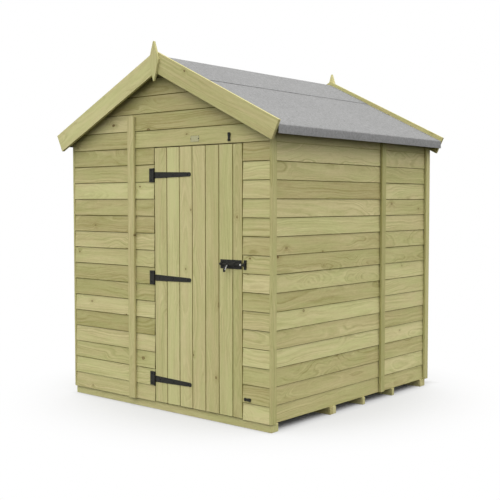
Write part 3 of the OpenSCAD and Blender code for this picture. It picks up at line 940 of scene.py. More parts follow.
class SHED_OT_walls(bpy.types.Operator):
    """Lay the lapped boards of the four walls and the two gables"""

    bl_idname = "shed.walls"
    bl_label = "Lapped Walls"

    def execute(self, context):
        self.front()
        wall = "back"
        lapped_panel("back_left_boards", "back_cladding_left", wall, SEAM_X, SIDE_X, 0, GABLE_COURSE)
        lapped_panel("back_right_boards", "back_cladding_right", wall, -SIDE_X, SEAM_X, 0, GABLE_COURSE)
        self.gable("back_gable_boards", "back_gable", wall)
        front, rear, top = FRONT_FRAME_Y, BACK_FRAME_Y, SIDE_COURSES
        wall, seed = "right", "right wall front 336"
        name, node = "right_front_boards", "right_cladding_front"
        lapped_panel(name, node, wall, front, SIDE_SEAM, 0, top, (0, 0.9), seed)
        name, node, seed = "right_rear_boards", "right_cladding_rear", "right wall rear 342"
        lapped_panel(name, node, wall, SIDE_SEAM, rear, 0, top, (0.2, 1), seed)
        wall = "left"
        lapped_panel("left_front_boards", "left_cladding_front", wall, -SIDE_SEAM, -front, 0, top)
        lapped_panel("left_rear_boards", "left_cladding_rear", wall, -rear, -SIDE_SEAM, 0, top)
        return {"FINISHED"}

    def front(self):
        """The front's panels; the boards beside the hinges run on from those left of the seam."""
        closer = 0.0027
        wall, seed, top = "front", "front wall 2", HEAD_COURSE
        name, node = "front_left_boards", "front_cladding_left"
        lapped_panel(name, node, wall, -SIDE_X, SEAM_X, 0, GABLE_COURSE, seed=seed)
        name, node = "front_hinge_side_boards", "front_cladding_hinge_side"
        lapped_panel(name, node, wall, SEAM_X, OPEN_LEFT, 0, top, seed=seed, past=SEAM_X + SIDE_X)
        name, node, seed = "front_lock_side_boards", "front_cladding_lock_side", "lock side 335"
        lapped_panel(name, node, wall, OPEN_RIGHT - closer, SIDE_X, 0, top, seed=seed)
        name, node, seed = "front_boards_over_door", "front_cladding_over_door", "over door 33"
        lapped_panel(name, node, wall, SEAM_X, SIDE_X, top, GABLE_COURSE, seed=seed)
        self.gable("front_gable_boards", "front_gable", wall)

    def gable(self, name, node, wall):
        # The gables' boards take tones from the dark end: painted shade under the roof's overhang
        lapped_panel(name, node, wall, -SIDE_X, SIDE_X, GABLE_COURSE, TOP_COURSE, (0, 0.4))


class SHED_OT_strips(bpy.types.Operator):
    """Fix the strips over the panel seams and on the corners"""

    bl_idname = "shed.strips"
    bl_label = "Cover Strips"

    def execute(self, context):
        rng = random.Random("strips")
        half_wide, half_slim, corner_w = 0.028, 0.023, 0.046
        bow = sizes().bow * 0.5
        low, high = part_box("cover_strips")
        outer = high.x
        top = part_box("corner_strips")[1].z
        seams = []
        for x, y0, y1 in ((SEAM_X, low.y, FRONT_Y), (-SEAM_X, BACK_Y, high.y)):
            seams.append(bar((x - half_wide, y0, low.z), (x + half_wide, y1, high.z), "Z", rng, bow=bow))
        corners = []
        for x0, x1 in ((SIDE_X, outer), (-outer, -SIDE_X)):
            for strips, y0, y1 in (
                (seams, SIDE_SEAM - half_slim, SIDE_SEAM + half_slim),
                (corners, FRONT_Y, FRONT_Y + corner_w),
                (corners, BACK_Y - corner_w, BACK_Y),
            ):
                strips.append(bar((x0, y0, low.z), (x1, y1, top), "Z", rng, bow=bow))
        dress(seams, "seam_strips", planed_timber(), "shed", "timber", "cover_strips")
        dress(corners, "corner_boards", planed_timber(), "shed", "timber", "corner_strips")
        return {"FINISHED"}


class SHED_OT_base(bpy.types.Operator):
    """Lay the bearers and the floor"""

    bl_idname = "shed.base"
    bl_label = "Base"

    def execute(self, context):
        rng = random.Random("base")
        floor_seam = -0.254
        wide, slim = 0.062, 0.028
        rows = ((-0.818, wide), (floor_seam, wide), (0.086, slim), (0.439, slim), (0.830, wide))
        low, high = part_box("floor_bearers")
        bearers = []
        for middle, width in rows:
            parts = 2 if middle == floor_seam else 1
            for part in range(parts):
                y0 = middle - width / 2 + part * width / parts
                y1 = y0 + width / parts
                bearers.append(bar((low.x, y0, low.z), (high.x, y1, high.z), "X", rng, 0.002))
        dress(bearers, "bearers", planed_timber(), "shed", "timber", "floor_bearers")

        low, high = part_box("floor_boards")
        half_gap, end_gap = 0.0004, 0.0005
        boards = []
        for y0, y1 in ((low.y, floor_seam), (floor_seam, high.y)):
            x = low.x
            while x < high.x - 0.01:
                x1 = min(x + sizes().floor_board_w, high.x)
                start = (x + half_gap, y0 + end_gap, low.z)
                boards.append(bar(start, (x1 - half_gap, y1 - end_gap, high.z), "Y", rng))
                x = x1
        dress(boards, "floor", framing_timber(), "shed", "inner_timber", "floor_boards")
        return {"FINISHED"}


class SHED_OT_framing(bpy.types.Operator):
    """Set up the posts and rails inside the walls"""

    bl_idname = "shed.framing"
    bl_label = "Framing"

    def execute(self, context):
        rng = random.Random("framing")
        half_gap, rail_gap, jamb = 0.001, 0.002, 0.012
        front, rear, inner = FRONT_INSIDE, BACK_INSIDE, FRAME_X - FRAME_T
        door_left, door_right = OPEN_LEFT + jamb, OPEN_RIGHT - jamb
        side_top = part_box("right_posts")[1].z

        seam = SEAM_X
        lefts = (-FRAME_X, seam - half_gap - FRAME_W, seam + half_gap, door_left - FRAME_W)
        lefts += (door_right, FRAME_X - FRAME_W)
        posts = [bar((x, FRONT_FRAME_Y, RAIL_TOP), (x + FRAME_W, front, HEAD_RAIL), "Z", rng) for x in lefts]
        self.fix(posts, "front_studs", "front_posts")
        seam = -SEAM_X
        middle = (seam - FRAME_X - FRAME_W) / 2
        lefts = (-FRAME_X, middle, seam - half_gap - FRAME_W, seam + half_gap, FRAME_X - FRAME_W)
        posts = [bar((x, rear, RAIL_TOP), (x + FRAME_W, BACK_FRAME_Y, HEAD_RAIL), "Z", rng) for x in lefts]
        self.fix(posts, "back_studs", "back_posts")

        middle = (front + SIDE_SEAM - FRAME_W) / 2
        starts = (front, middle, SIDE_SEAM - half_gap - FRAME_W, SIDE_SEAM + half_gap, rear - FRAME_W)
        for hand, x0, x1 in (("right", inner, FRAME_X), ("left", -FRAME_X, -inner)):
            posts = [bar((x0, y, RAIL_TOP), (x1, y + FRAME_W, side_top), "Z", rng) for y in starts]
            self.fix(posts, f"{hand}_studs", f"{hand}_posts")

        rails = []
        for x0, x1, y0, y1 in (
            (-FRAME_X, door_left, FRONT_FRAME_Y, front),
            (door_right, FRAME_X, FRONT_FRAME_Y, front),
            (-FRAME_X, FRAME_X, rear, BACK_FRAME_Y),
        ):
            rails.append(bar((x0, y0, FLOOR_Z), (x1, y1, RAIL_TOP), "X", rng))
        heads = []
        for y0, y1 in ((FRONT_FRAME_Y, front), (rear, BACK_FRAME_Y)):
            heads.append(bar((-FRAME_X, y0, HEAD_RAIL), (FRAME_X, y1, HEAD_RAIL + FRAME_W), "X", rng))
        y0, y1 = front + rail_gap, rear - rail_gap
        for x0, x1 in ((inner, FRAME_X), (-FRAME_X, -inner)):
            rails.append(bar((x0, y0, FLOOR_Z), (x1, y1, RAIL_TOP), "Y", rng))
            heads.append(bar((x0, y0, side_top), (x1, y1, under_roof(inner)), "Y", rng))
            trim_to_roof(heads[-1])
        self.fix(rails, "sole_plates", "bottom_rails")
        self.fix(heads, "head_plates", "top_rails")

        for end, y0, y1 in (("front", FRONT_FRAME_Y, front), ("back", rear, BACK_FRAME_Y)):
            rafters = []
            for side in (-1, 1):
                rafter = sloping_board(side, y0, y1, UNDER_DECK - FRAME_W, UNDER_DECK, 0.94, rng)
                trim(rafter, (side * FRAME_X, 0, 0), X * side)
                rafters.append(rafter)
            self.fix(rafters, f"{end}_gable_rafters", f"{end}_gable_rail")
        return {"FINISHED"}

    def fix(self, pieces, name, node):
        dress(pieces, name, framing_timber(), "shed", "inner_timber", node)


class SHED_OT_roof_boards(bpy.types.Operator):
    """Lay the roof boards and the battens under them"""

    bl_idname = "shed.roof_boards"
    bl_label = "Roof Boards"

    def execute(self, context):
        rng = random.Random("roof")
        half_gap, past_ridge = 0.0004, 0.006
        batten_w, batten_h = 0.028, 0.033
        purlin_s, ridge_s = 0.520, 0.045
        rows = (
            (EAVE_S - batten_w, ROOF_Y0, ROOF_Y1),
            (purlin_s, FRONT_INSIDE, BACK_INSIDE),
            (ridge_s, FRONT_INSIDE, BACK_INSIDE),
        )
        for hand, side in HANDS:
            boards = []
            s = 0.0
            while s < EAVE_S - 0.01:
                s1 = min(s + sizes().floor_board_w, EAVE_S)
                start = s + half_gap if s else -past_ridge
                board = slope_bar(side, start, s1 - half_gap, -DECK, 0, ROOF_Y0, ROOF_Y1, rng)
                trim(board, (0, 0, 0), X * -side)
                boards.append(board)
                s = s1
            battens = []
            self.fix(boards, f"roof_deck_{hand}", f"roof_boards_{hand}")
            for s, y0, y1 in rows:
                low = UNDER_DECK - batten_h
                battens.append(slope_bar(side, s, s + batten_w, low, UNDER_DECK, y0, y1, rng))
            self.fix(battens, f"roof_purlins_{hand}", f"roof_battens_{hand}")
        return {"FINISHED"}

    def fix(self, pieces, name, node):
        dress(pieces, name, framing_timber(), "shed", "inner_timber", node)


class SHED_OT_felt(bpy.types.Operator):
    """Lay the felt on both slopes and over the ridge"""

    bl_idname = "shed.felt"
    bl_label = "Roof Felt"

    def execute(self, context):
        for hand, side in HANDS:
            sheet = self.slope_sheet(side)
            dress([sheet], f"slope_felt_{hand}", mineral_felt(), "shed", "roof_felt", f"felt_{hand}")
        dress([self.ridge_sheet()], "ridge_felt", mineral_felt(), "shed", "roof_felt", "felt_ridge")
        return {"FINISHED"}

    def flat_sheet(self, s0, s1):
        sheet = start_sheet(ROOF_Y1 - ROOF_Y0, s1 - s0, (0, (s0 + s1) / 2, 0))
        bpy.ops.mesh.subdivide(number_cuts=31)
        return sheet

    def slope_sheet(self, side):
        """One slope's felt, slightly wavy, turned down over the eave with a soft fold and hanging plumb."""
        end = EAVE_S + 0.0022
        drop = 0.0465
        sheet = self.flat_sheet(0.0, end)
        pick_placed("EDGE", lambda place: abs(place.y - end) < 1e-5)
        extrude(0, drop * math.sin(PITCH), -drop * math.cos(PITCH))
        pick_placed("EDGE", lambda place: abs(place.y - end) < 1e-5 and abs(place.z) < 1e-5)
        bevel(0.004, 3)
        point_outwards()
        object_mode()
        for vertex in sheet.data.vertices:
            wave = noise.noise(Vector((vertex.co.x * 2.3, vertex.co.y * 3.1, side * 4.0)))
            if vertex.co.z > -0.001:
                vertex.co.z += 0.0004 + 0.0003 * wave
            elif vertex.co.z < -0.04:
                vertex.co.z += 0.0015 * wave
        sheet.data.update()
        give_thickness(sheet, sizes().felt_t, 1)
        sheet.data.transform(slope_matrix(side))
        return sheet

    def ridge_sheet(self):
        """The felt over the ridge, with its edges laid by hand and so not quite straight."""
        reach = 0.370
        sheet = self.flat_sheet(-reach, reach)
        pick_placed("EDGE", lambda place: abs(place.y) < 1e-5)
        bevel(0.006, 3)
        object_mode()
        for vertex in sheet.data.vertices:
            x, y = vertex.co.x, vertex.co.y
            side = 1 if y > 0 else -1
            edge = abs(y) / reach
            wander = 0.0035 * noise.noise(Vector((x * 2.1, side * 7.0, 0.3))) * edge ** 4
            wave = 0.0004 * noise.noise(Vector((x * 2.6, y * 4.0, 9.0)))
            s = abs(y) + wander
            n = 0.0044 - 0.0014 * edge ** 6 + wave
            on_ridge = abs(y) < 1e-6
            vertex.co.x = 0 if on_ridge else side * (s * math.cos(PITCH) + n * math.sin(PITCH))
            vertex.co.y = x
            vertex.co.z = RIDGE_Z - s * math.sin(PITCH) + n * math.cos(PITCH)
        edit_mode()
        point_outwards()
        object_mode()
        if sum(face.normal.z for face in sheet.data.polygons) < 0:
            sheet.data.flip_normals()
        give_thickness(sheet, sizes().felt_t, 1)
        return sheet


class SHED_OT_bargeboards(bpy.types.Operator):
    """Fix the bargeboards and the finials"""

    bl_idname = "shed.bargeboards"
    bl_label = "Bargeboards"

    # A finial's height, width, thickness, flat at each tip, and drop from its tip to its widest place
    FINIAL = (0.237, 0.080, 0.014, 0.008, 0.112)

    def execute(self, context):
        rng = random.Random("bargeboards")
        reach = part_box("bargeboard_front_right")[1].x
        length = (reach - BARGE_LIP * math.sin(PITCH)) / math.cos(PITCH)
        for end in ("front", "rear"):
            for hand, side in HANDS:
                node = f"bargeboard_{end}_{hand}"
                low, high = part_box(node)
                tone = rng.uniform(0.8, 1.0) if hand == "left" else rng.uniform(0.38, 0.58)
                # The rear bargeboards' tone is lowered: painted shade
                if end == "rear":
                    tone *= 0.55
                bottom = BARGE_LIP - BARGE_W
                board = sloping_board(side, low.y, high.y, bottom, BARGE_LIP, length, rng, tone)
                dress([board], f"{end}_{hand}_bargeboard", planed_timber(), "shed", "timber", node)
        low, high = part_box("finials")
        tips = [self.finial(y, high.z, rng) for y in (low.y, high.y - self.FINIAL[2])]
        dress(tips, "finial_diamonds", planed_timber(), "shed", "timber", "finials")
        return {"FINISHED"}

    def finial(self, y, tip, rng):
        """A diamond: a board whose four corners are drawn in to the middle, widest above its half."""
        height, width, thick, flat, shoulder = self.FINIAL
        near_end = 0.01
        board = start_block((height, width, thick), (height / 2, width / 2, thick / 2))
        pick("EDGE", lambda edge: runs_along(edge, 0, height / 2))
        bpy.ops.mesh.subdivide(number_cuts=1)
        pick_placed("VERT", lambda place: near_end < place.x < height - near_end)
        bpy.ops.transform.translate(value=(height - shoulder - height / 2, 0, 0))
        pick_placed("VERT", lambda place: place.x < near_end or place.x > height - near_end)
        bpy.ops.transform.resize(value=(1, flat / width, 1), center_override=(0, width / 2, 0))
        pick_all()
        bevel(0.001, 2)
        object_mode()
        season(board, rng)
        board.data.transform(axes_matrix(Z, X, Y, Vector((-width / 2, y, tip - height))))
        return board


class SHED_OT_door(bpy.types.Operator):
    """Build the ledged and braced door"""

    bl_idname = "shed.door"
    bl_label = "Door"

    def execute(self, context):
        rng = random.Random("door boards")
        half_gap, closer = 0.0007, 0.0018
        x = DOOR_LOW.x
        boards = []
        while x < DOOR_HIGH.x - 0.01:
            x1 = min(x + sizes().matchboard_w, DOOR_HIGH.x)
            is_last = x1 > DOOR_HIGH.x - 0.01
            low = (x + half_gap, DOOR_LOW.y, DOOR_LOW.z)
            high = (x1 + (closer if is_last else -half_gap), DOOR_HIGH.y, DOOR_HIGH.z)
            board = bar(low, high, "Z", rng, chamfer=sizes().vee, tone=rng.uniform(0.15, 1.0))
            sides = []
            for vertex in board.data.vertices:
                if min(vertex.co.x - low[0], high[0] - vertex.co.x) < 0.0001:
                    sides.append(vertex.index)
            # The sides of each V joint take the painted shade tone: painted shade in the joints
            darken(board, sides)
            boards.append(board)
            x = x1
        dress(boards, "door_matchboards", matchboard_timber(), "door", "door_timber", "door_boards")

        low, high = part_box("door_ledges")
        half_ledge = 0.0475
        timbers = []
        for z in HINGE_LEVELS:
            start = (low.x, low.y, z - half_ledge)
            timbers.append(bar(start, (high.x, high.y, z + half_ledge), "X", rng, 0.003))
        for z0, z1 in zip(HINGE_LEVELS, HINGE_LEVELS[1:]):
            timbers.append(self.brace(low, high, z0 + half_ledge, z1 - half_ledge, rng))
        name = "door_ledges_and_braces"
        dress(timbers, name, framing_timber(), "door", "inner_timber", "door_ledges")
        return {"FINISHED"}

    def brace(self, low, high, z0, z1, rng):
        """A brace that rises from the hinge side, cut level against the ledges."""
        level_w, spare, gap = 0.070, 0.07, 0.0002
        foot = Vector((low.x, high.y, z0))
        line = Vector((high.x - low.x - level_w, 0, z1 - z0))
        along = line.normalized()
        across = Vector((along.z, 0, -along.x))
        width = level_w * along.z
        board = plank((line.length + 2 * spare, width, high.y - low.y), 0.002)
        season(board, rng)
        board.data.transform(axes_matrix(along, -across, -Y, foot + across * width - along * spare))
        trim(board, (0, 0, z0 + gap), -Z)
        trim(board, (0, 0, z1 - gap), Z)
        return board


class SHED_OT_hinges(bpy.types.Operator):
    """Forge the three strap hinges with their screws"""

    bl_idname = "shed.hinges"
    bl_label = "Hinges"

    # Half the height of the strap at its knuckle, and of the notch for it in the wall plate
    STRAP_HALF = 0.0194
    NOTCH_HALF = 0.0202
    PLATE_HALF = 0.0425
    PIN_HALF = 0.044

    def execute(self, context):
        screw = screw_head(sizes().screw_r)
        strap = self.strap()
        plate = self.wall_plate()
        straps = []
        plates = []
        strap_screws = []
        plate_screws = []
        for z in HINGE_LEVELS:
            straps.append(moved(twin(strap), (0, 0, z)))
            straps.append(self.upright(z - self.STRAP_HALF, z + self.STRAP_HALF))
            for reach in (0.047, 0.164, 0.286):
                strap_screws.append(on_face(twin(screw), (HINGE_X + reach, IRON_FACE, z), -Y))
            plates.append(moved(twin(plate), (0, 0, z)))
            plates.append(self.upright(z - self.PLATE_HALF, z - self.NOTCH_HALF))
            plates.append(self.upright(z + self.NOTCH_HALF, z + self.PLATE_HALF))
            plates.append(self.upright(z - self.PIN_HALF, z + self.PIN_HALF, 0.0024, 0.0008))
            for lift in (-0.029, 0.029):
                plate_screws.append(on_face(twin(screw), (HINGE_X - 0.024, IRON_FACE, z + lift), -Y))
        dress(straps, "hinge_long_straps", black_iron(), "door", "black_iron", "hinge_straps")
        dress(plates, "hinge_wall_leaves", black_iron(), "shed", "black_iron", "hinge_plates")
        dress(strap_screws, "hinge_strap_screws", dark_screws(), "door", "black_iron")
        dress(plate_screws, "hinge_leaf_screws", dark_screws(), "shed", "black_iron")
        for pattern in (screw, strap, plate):
            discard(pattern)
        return {"FINISHED"}

    def upright(self, z0, z1, radius=0.0045, ease=0.0006):
        """A knuckle or pin on the hinge's axis."""
        return rod(radius, (HINGE_X, HINGE_Y, z0), (HINGE_X, HINGE_Y, z1), ease=ease)

    def strap(self):
        """A flat strap that tapers to a round tip."""
        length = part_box("hinge_straps")[1].x - HINGE_X
        root, tip = 0.0196, 0.012
        piece = start_sheet(length, 2 * root, (length / 2, 0, 0))
        pick_placed("VERT", lambda place: place.x > length / 2)
        bpy.ops.transform.resize(value=(1, tip / root, 1), center_override=(0, 0, 0))
        bevel(tip * 0.97, 8, "VERTICES")
        raise_plate(IRON_T)
        pick_placed("EDGE", lambda place: place.z > IRON_T / 2)
        bevel(0.0007, 2)
        object_mode()
        return on_face(piece, (HINGE_X, FRONT_Y, 0), -Y)

    def wall_plate(self):
        """The plate on the wall, notched for the strap's knuckle, and deep enough for the boards' slope."""
        width, notch, deeper = 0.042, 0.0058, 3.0
        piece = start_sheet(width, 2 * self.PLATE_HALF, (-width / 2, 0, 0))
        for level in (-self.NOTCH_HALF, self.NOTCH_HALF):
            pick_all()
            bpy.ops.mesh.bisect(plane_co=(0, level, 0), plane_no=(0, 1, 0))
        pick_all()
        bpy.ops.mesh.bisect(plane_co=(-notch, 0, 0), plane_no=(1, 0, 0))
        pick("FACE", lambda face: self.is_notch(face.calc_center_median(), notch))
        bpy.ops.mesh.delete(type="FACE")
        raise_plate(IRON_T)
        object_mode()
        soften(piece, 0.0006, 2, 30)
        moved(piece, (0, 0, -IRON_T))
        piece.data.transform(Matrix.Diagonal((1, 1, deeper, 1)))
        moved(piece, (0, 0, IRON_T))
        return on_face(piece, (HINGE_X, FRONT_Y, 0), -Y)

    def is_notch(self, middle, notch):
        return middle.x > -notch and abs(middle.y) < self.NOTCH_HALF


class SHED_OT_bolt(bpy.types.Operator):
    """Make the pad bolt: its plate on the door, its bar and its keep on the wall"""

    bl_idname = "shed.bolt"
    bl_label = "Bolt"

    # Steps of the lever's underside from the bar: outwards and down
    LEVER = ((0.008, 0.007), (0.007, 0.010), (0.004, 0.011), (0.002, 0.010))

    def execute(self, context):
        screw = screw_head(0.0036)
        low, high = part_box("bolt_plate")
        parts = [eased_plate((low.x, IRON_FACE, low.z), (high.x, FRONT_Y, high.z))]
        for x in (low.x + 0.0065, low.x + 0.103, high.x - 0.0195):
            parts.append(moved(bridge(0.013, 0.006), (x, BOLT_Y, BOLT_Z)))
        for x in (low.x + 0.034, high.x - 0.034):
            for lift in (-0.0165, 0.0165):
                parts.append(on_face(twin(screw), (x, IRON_FACE, BOLT_Z + lift), -Y))
        dress(parts, "bolt_back_plate", black_iron(), "door", "black_iron", "bolt_plate")

        low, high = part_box("bolt_bar")
        start = low.x + 0.017
        parts = [rod(BOLT_R, (start, BOLT_Y, BOLT_Z), (high.x, BOLT_Y, BOLT_Z), ease=0.0016)]
        parts.append(self.tail(low.x + 0.005))
        parts.append(self.handle())
        dress(parts, "bolt_sliding_bar", black_iron(), "bolt", "black_iron", "bolt_bar")
        # Bright bare steel pieces on the lever and bar: painted highlights
        dress(self.painted_highlights(high.x), "bolt_worn_places", worn_steel(), "bolt", "black_iron")

        low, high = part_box("bolt_keep")
        loop = moved(bridge(high.x - low.x, 0.004), (low.x, BOLT_Y, BOLT_Z))
        into_boards = FRONT_Y + 0.005
        parts = [eased_plate((low.x, IRON_FACE, low.z), (high.x, into_boards, high.z)), loop]
        middle = (low.x + high.x) / 2
        for lift in (-0.0205, 0.0205):
            parts.append(on_face(twin(screw), (middle, IRON_FACE, BOLT_Z + lift), -Y))
        dress(parts, "bolt_wall_keep", black_iron(), "shed", "black_iron", "bolt_keep")
        discard(screw)
        return {"FINISHED"}

    def tail(self, x):
        """The pointed tail of the bar."""
        piece = rod(BOLT_R, (x, BOLT_Y, BOLT_Z), (x + 0.0135, BOLT_Y, BOLT_Z))
        take(piece)
        edit_mode()
        pick_placed("VERT", lambda place: place.x < x + 0.001)
        bpy.ops.transform.resize(value=(1, 0.35, 0.35), center_override=(x, BOLT_Y, BOLT_Z))
        object_mode()
        return piece

    def lever_x(self):
        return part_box("bolt_plate")[0].x + 0.057

    def handle(self):
        """A lever that curls out from the bar and hangs down to a rounded end."""
        middle = self.lever_x()
        thick = 0.012
        piece = start_block((thick, thick, thick), (middle, BOLT_Y - 0.005, BOLT_Z))
        for out, drop in self.LEVER:
            lowest = min(vertex.co.z for vertex in bmesh.from_edit_mesh(piece.data).verts)
            pick_placed("FACE", lambda place: abs(place.z - lowest) < 1e-5)
            extrude(0, -out, -drop)
        end = (middle, BOLT_Y - 0.026, BOLT_Z)
        bpy.ops.transform.resize(value=(0.8, 0.75, 1), center_override=end)
        point_outwards()
        object_mode()
        soften(piece, 0.0024, 3, 40)
        return piece

    def painted_highlights(self, tip):
        """Bright bare steel on the lever and on the bar by its guide: painted highlights."""
        point = Vector((self.lever_x() + 0.0052, BOLT_Y - 0.005, BOLT_Z - 0.006))
        wear_and_glint = [rod(0.0064, (tip - 0.0075, BOLT_Y, BOLT_Z), (tip - 0.0004, BOLT_Y, BOLT_Z), ease=0.0008)]
        for out, drop in self.LEVER[:3]:
            step = point + Vector((0, -out, -drop))
            wear_and_glint.append(rod(0.0030, point, step, vertices=12, ease=0.0008))
            point = step
        return wear_and_glint


class SHED_OT_turn_buttons(bpy.types.Operator):
    """Make the two turn buttons and their screws"""

    bl_idname = "shed.turn_buttons"
    bl_label = "Turn Buttons"

    def execute(self, context):
        screws = []
        for end, pivot, up in (("top", TOP_BUTTON, Z), ("bottom", BOTTOM_BUTTON, X)):
            piece = on_face(self.button(), pivot, -Y, up)
            body, node = f"{end}_button", f"turn_button_{end}"
            dress([piece], f"{end}_turn_button", black_iron(), body, "black_iron", node)
        for pivot in (TOP_BUTTON, BOTTOM_BUTTON):
            head = screw_head(0.005)
            head.data.transform(Matrix.Diagonal((1, 1, 1.6, 1)))
            screws.append(on_face(head, pivot - Y * 0.0058, -Y))
            screws.append(rod(0.0024, pivot + Y * 0.012, pivot - Y * 0.006, vertices=12))
        dress(screws, "turn_button_pins", black_iron(), "shed", "black_iron", "turn_button_screws")
        return {"FINISHED"}

    def button(self):
        """A round end on its screw, a narrow neck and a wide nose, made with its nose to +Y."""
        thick, wide, neck = 0.005, 0.019, 0.013
        piece = start_sheet(wide, 0.011, (0, 0.0345, 0))
        pick_placed("EDGE", lambda place: place.y < 0.030)
        for drop, scale in ((-0.0205, neck / wide), (-0.0085, wide / neck), (-0.0095, 1.0)):
            extrude(0, drop, 0)
            bpy.ops.transform.resize(value=(scale, 1, 1), center_override=(0, 0, 0))
        pick_placed("VERT", lambda place: place.y < -0.008)
        bevel(0.0086, 6, "VERTICES")
        pick_placed("VERT", lambda place: place.y > 0.039)
        bevel(0.003, 2, "VERTICES")
        raise_plate(thick)
        object_mode()
        soften(piece, 0.0009, 2, 50)
        return piece


class SHED_OT_fasteners(bpy.types.Operator):
    """Drive the nails of the boards, strips, bargeboards and door"""

    bl_idname = "shed.fasteners"
    bl_label = "Nails"

    def execute(self, context):
        rng = random.Random("nails")
        head = nail_head()
        nails = []
        for point, out in self.board_nails(rng) + self.strip_nails(rng) + self.roof_nails(rng):
            nails.append(on_face(twin(head), point, out, Z if abs(out.z) < 0.9 else Y))
        dress(nails, "wall_nails", dull_nails(), "shed", "black_iron")
        nails = [on_face(twin(head), point, -Y) for point in self.door_nails(rng)]
        dress(nails, "door_nails", dull_nails(), "door", "black_iron")
        discard(head)
        return {"FINISHED"}

    def door_nails(self, rng):
        """Two nails a board at each ledge, closer together in the narrow last board."""
        cover = sizes().matchboard_w
        boards = math.ceil((DOOR_HIGH.x - DOOR_LOW.x) / cover)
        found = []
        for board in range(boards):
            start = DOOR_LOW.x + board * cover
            middle = (start + min(DOOR_LOW.x + (board + 1) * cover, DOOR_HIGH.x)) / 2
            for z in HINGE_LEVELS:
                for shift in (-0.028, 0.028):
                    side = shift * (0.9 if board < boards - 1 else 0.5)
                    found.append((middle + side + rng.uniform(-0.003, 0.003), DOOR_LOW.y, z + shift))
        return found

    def board_nails(self, rng):
        """One nail a course at each post, a little above the board's lower edge."""
        left = -SIDE_X + 0.042
        front, rear = FRONT_FRAME_Y + 0.048, BACK_FRAME_Y - 0.048
        beside_seam = (SEAM_X - 0.046, SEAM_X + 0.044)
        rows = {
            "front": (left, *beside_seam, OPEN_LEFT - 0.0115, OPEN_RIGHT + 0.011, -left),
            "back": (left, *beside_seam, 0.29, -left),
            "right": (front, -0.257, 0.262, 0.332, rear),
            "left": (-rear, -0.332, -0.262, 0.257, -front),
        }
        tilt = lap_tilt()
        found = []
        for wall, places in rows.items():
            for along in places:
                for course in range(SIDE_COURSES):
                    if wall == "front" and course == HEAD_COURSE and -0.1 < along < 0.7:
                        continue
                    lift = 0.024 + rng.uniform(-0.003, 0.003)
                    point, out = wall_point(wall, along + rng.uniform(-0.004, 0.004), line_z(course) + lift)
                    out = (out * math.cos(tilt) + Z * math.sin(tilt)).normalized()
                    found.append((point - out * (0.0007 + math.tan(tilt) * lift), out))
        return found

    def strip_nails(self, rng):
        """Nails up the strips, in turn left and right of their middle, and along the front bearer."""
        found = []
        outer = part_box("cover_strips")[1].x
        for step in range(6):
            z = 0.11 + step * 0.305
            shift = 0.012 if step % 2 else -0.012
            found.append((Vector((SEAM_X + shift, FRONT_Y - 0.015, z)), -Y))
            found.append((Vector((-SEAM_X + shift, BACK_Y + 0.015, z)), Y))
            for y in (SIDE_SEAM, FRONT_Y + 0.023, BACK_Y - 0.023):
                for side in (-1, 1):
                    found.append((Vector((side * outer, y + shift * 0.5, z)), X * side))
        for x in (-0.79, -0.42, 0.05, 0.42, 0.79):
            found.append((Vector((x, -0.849, 0.026 + rng.uniform(-0.005, 0.005))), -Y))
        return found

    def roof_nails(self, rng):
        """Pairs of nails down each bargeboard."""
        found = []
        front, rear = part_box("bargeboard_front_left")[0].y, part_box("bargeboard_rear_left")[1].y
        for out, y in ((-Y, front), (Y, rear)):
            for side in (-1, 1):
                for s in (0.13, 0.46, 0.80):
                    for n in (-0.006, -0.062):
                        line = down_slope(side) * (s + rng.uniform(-0.01, 0.01))
                        found.append((Vector((0, y, RIDGE_Z)) + line + roof_normal(side) * n, out))
        return found


class SHED_OT_bare_plate(bpy.types.Operator):
    """Fix the small bare plate over the door"""

    bl_idname = "shed.bare_plate"
    bl_label = "Bare Plate"

    def execute(self, context):
        width, height, thick, shadow_rim_w, dish = 0.067, 0.034, 0.0014, 0.0014, 0.0005
        piece = start_sheet(width, height)
        pick_all()
        bevel(0.004, 4, "VERTICES")
        pick_all()
        extrude(0, 0, thick)
        pick("FACE", lambda face: face.calc_center_median().z > thick * 0.9)
        bpy.ops.mesh.inset(thickness=0.0022)
        extrude(0, 0, -dish)
        point_outwards()
        object_mode()
        # A dark rim, a little larger than the plate and behind it: painted shadow round the plate
        rim = twin(piece)
        rim.data.transform(Matrix.Diagonal((1 + shadow_rim_w / width, 1 + shadow_rim_w / height, 0.5, 1)))
        dark = [rim]
        for x in (-0.031, 0.031):
            dark.append(moved(screw_head(0.003), (x, 0, thick - dish)))
        tilt = lap_tilt()
        out = -Y * math.cos(tilt) + Z * math.sin(tilt)
        x, z = 0.270, 1.6525
        point = Vector((x, FRONT_Y + (z - HEAD_Z) * math.tan(tilt) + 0.0003, z))
        for part in (piece, *dark):
            on_face(part, point, out)
        dress([piece], "bare_plate", satin_plate(), "shed", "black_iron")
        dress(dark, "bare_plate_edge", dark_screws(), "shed", "black_iron")
        return {"FINISHED"}


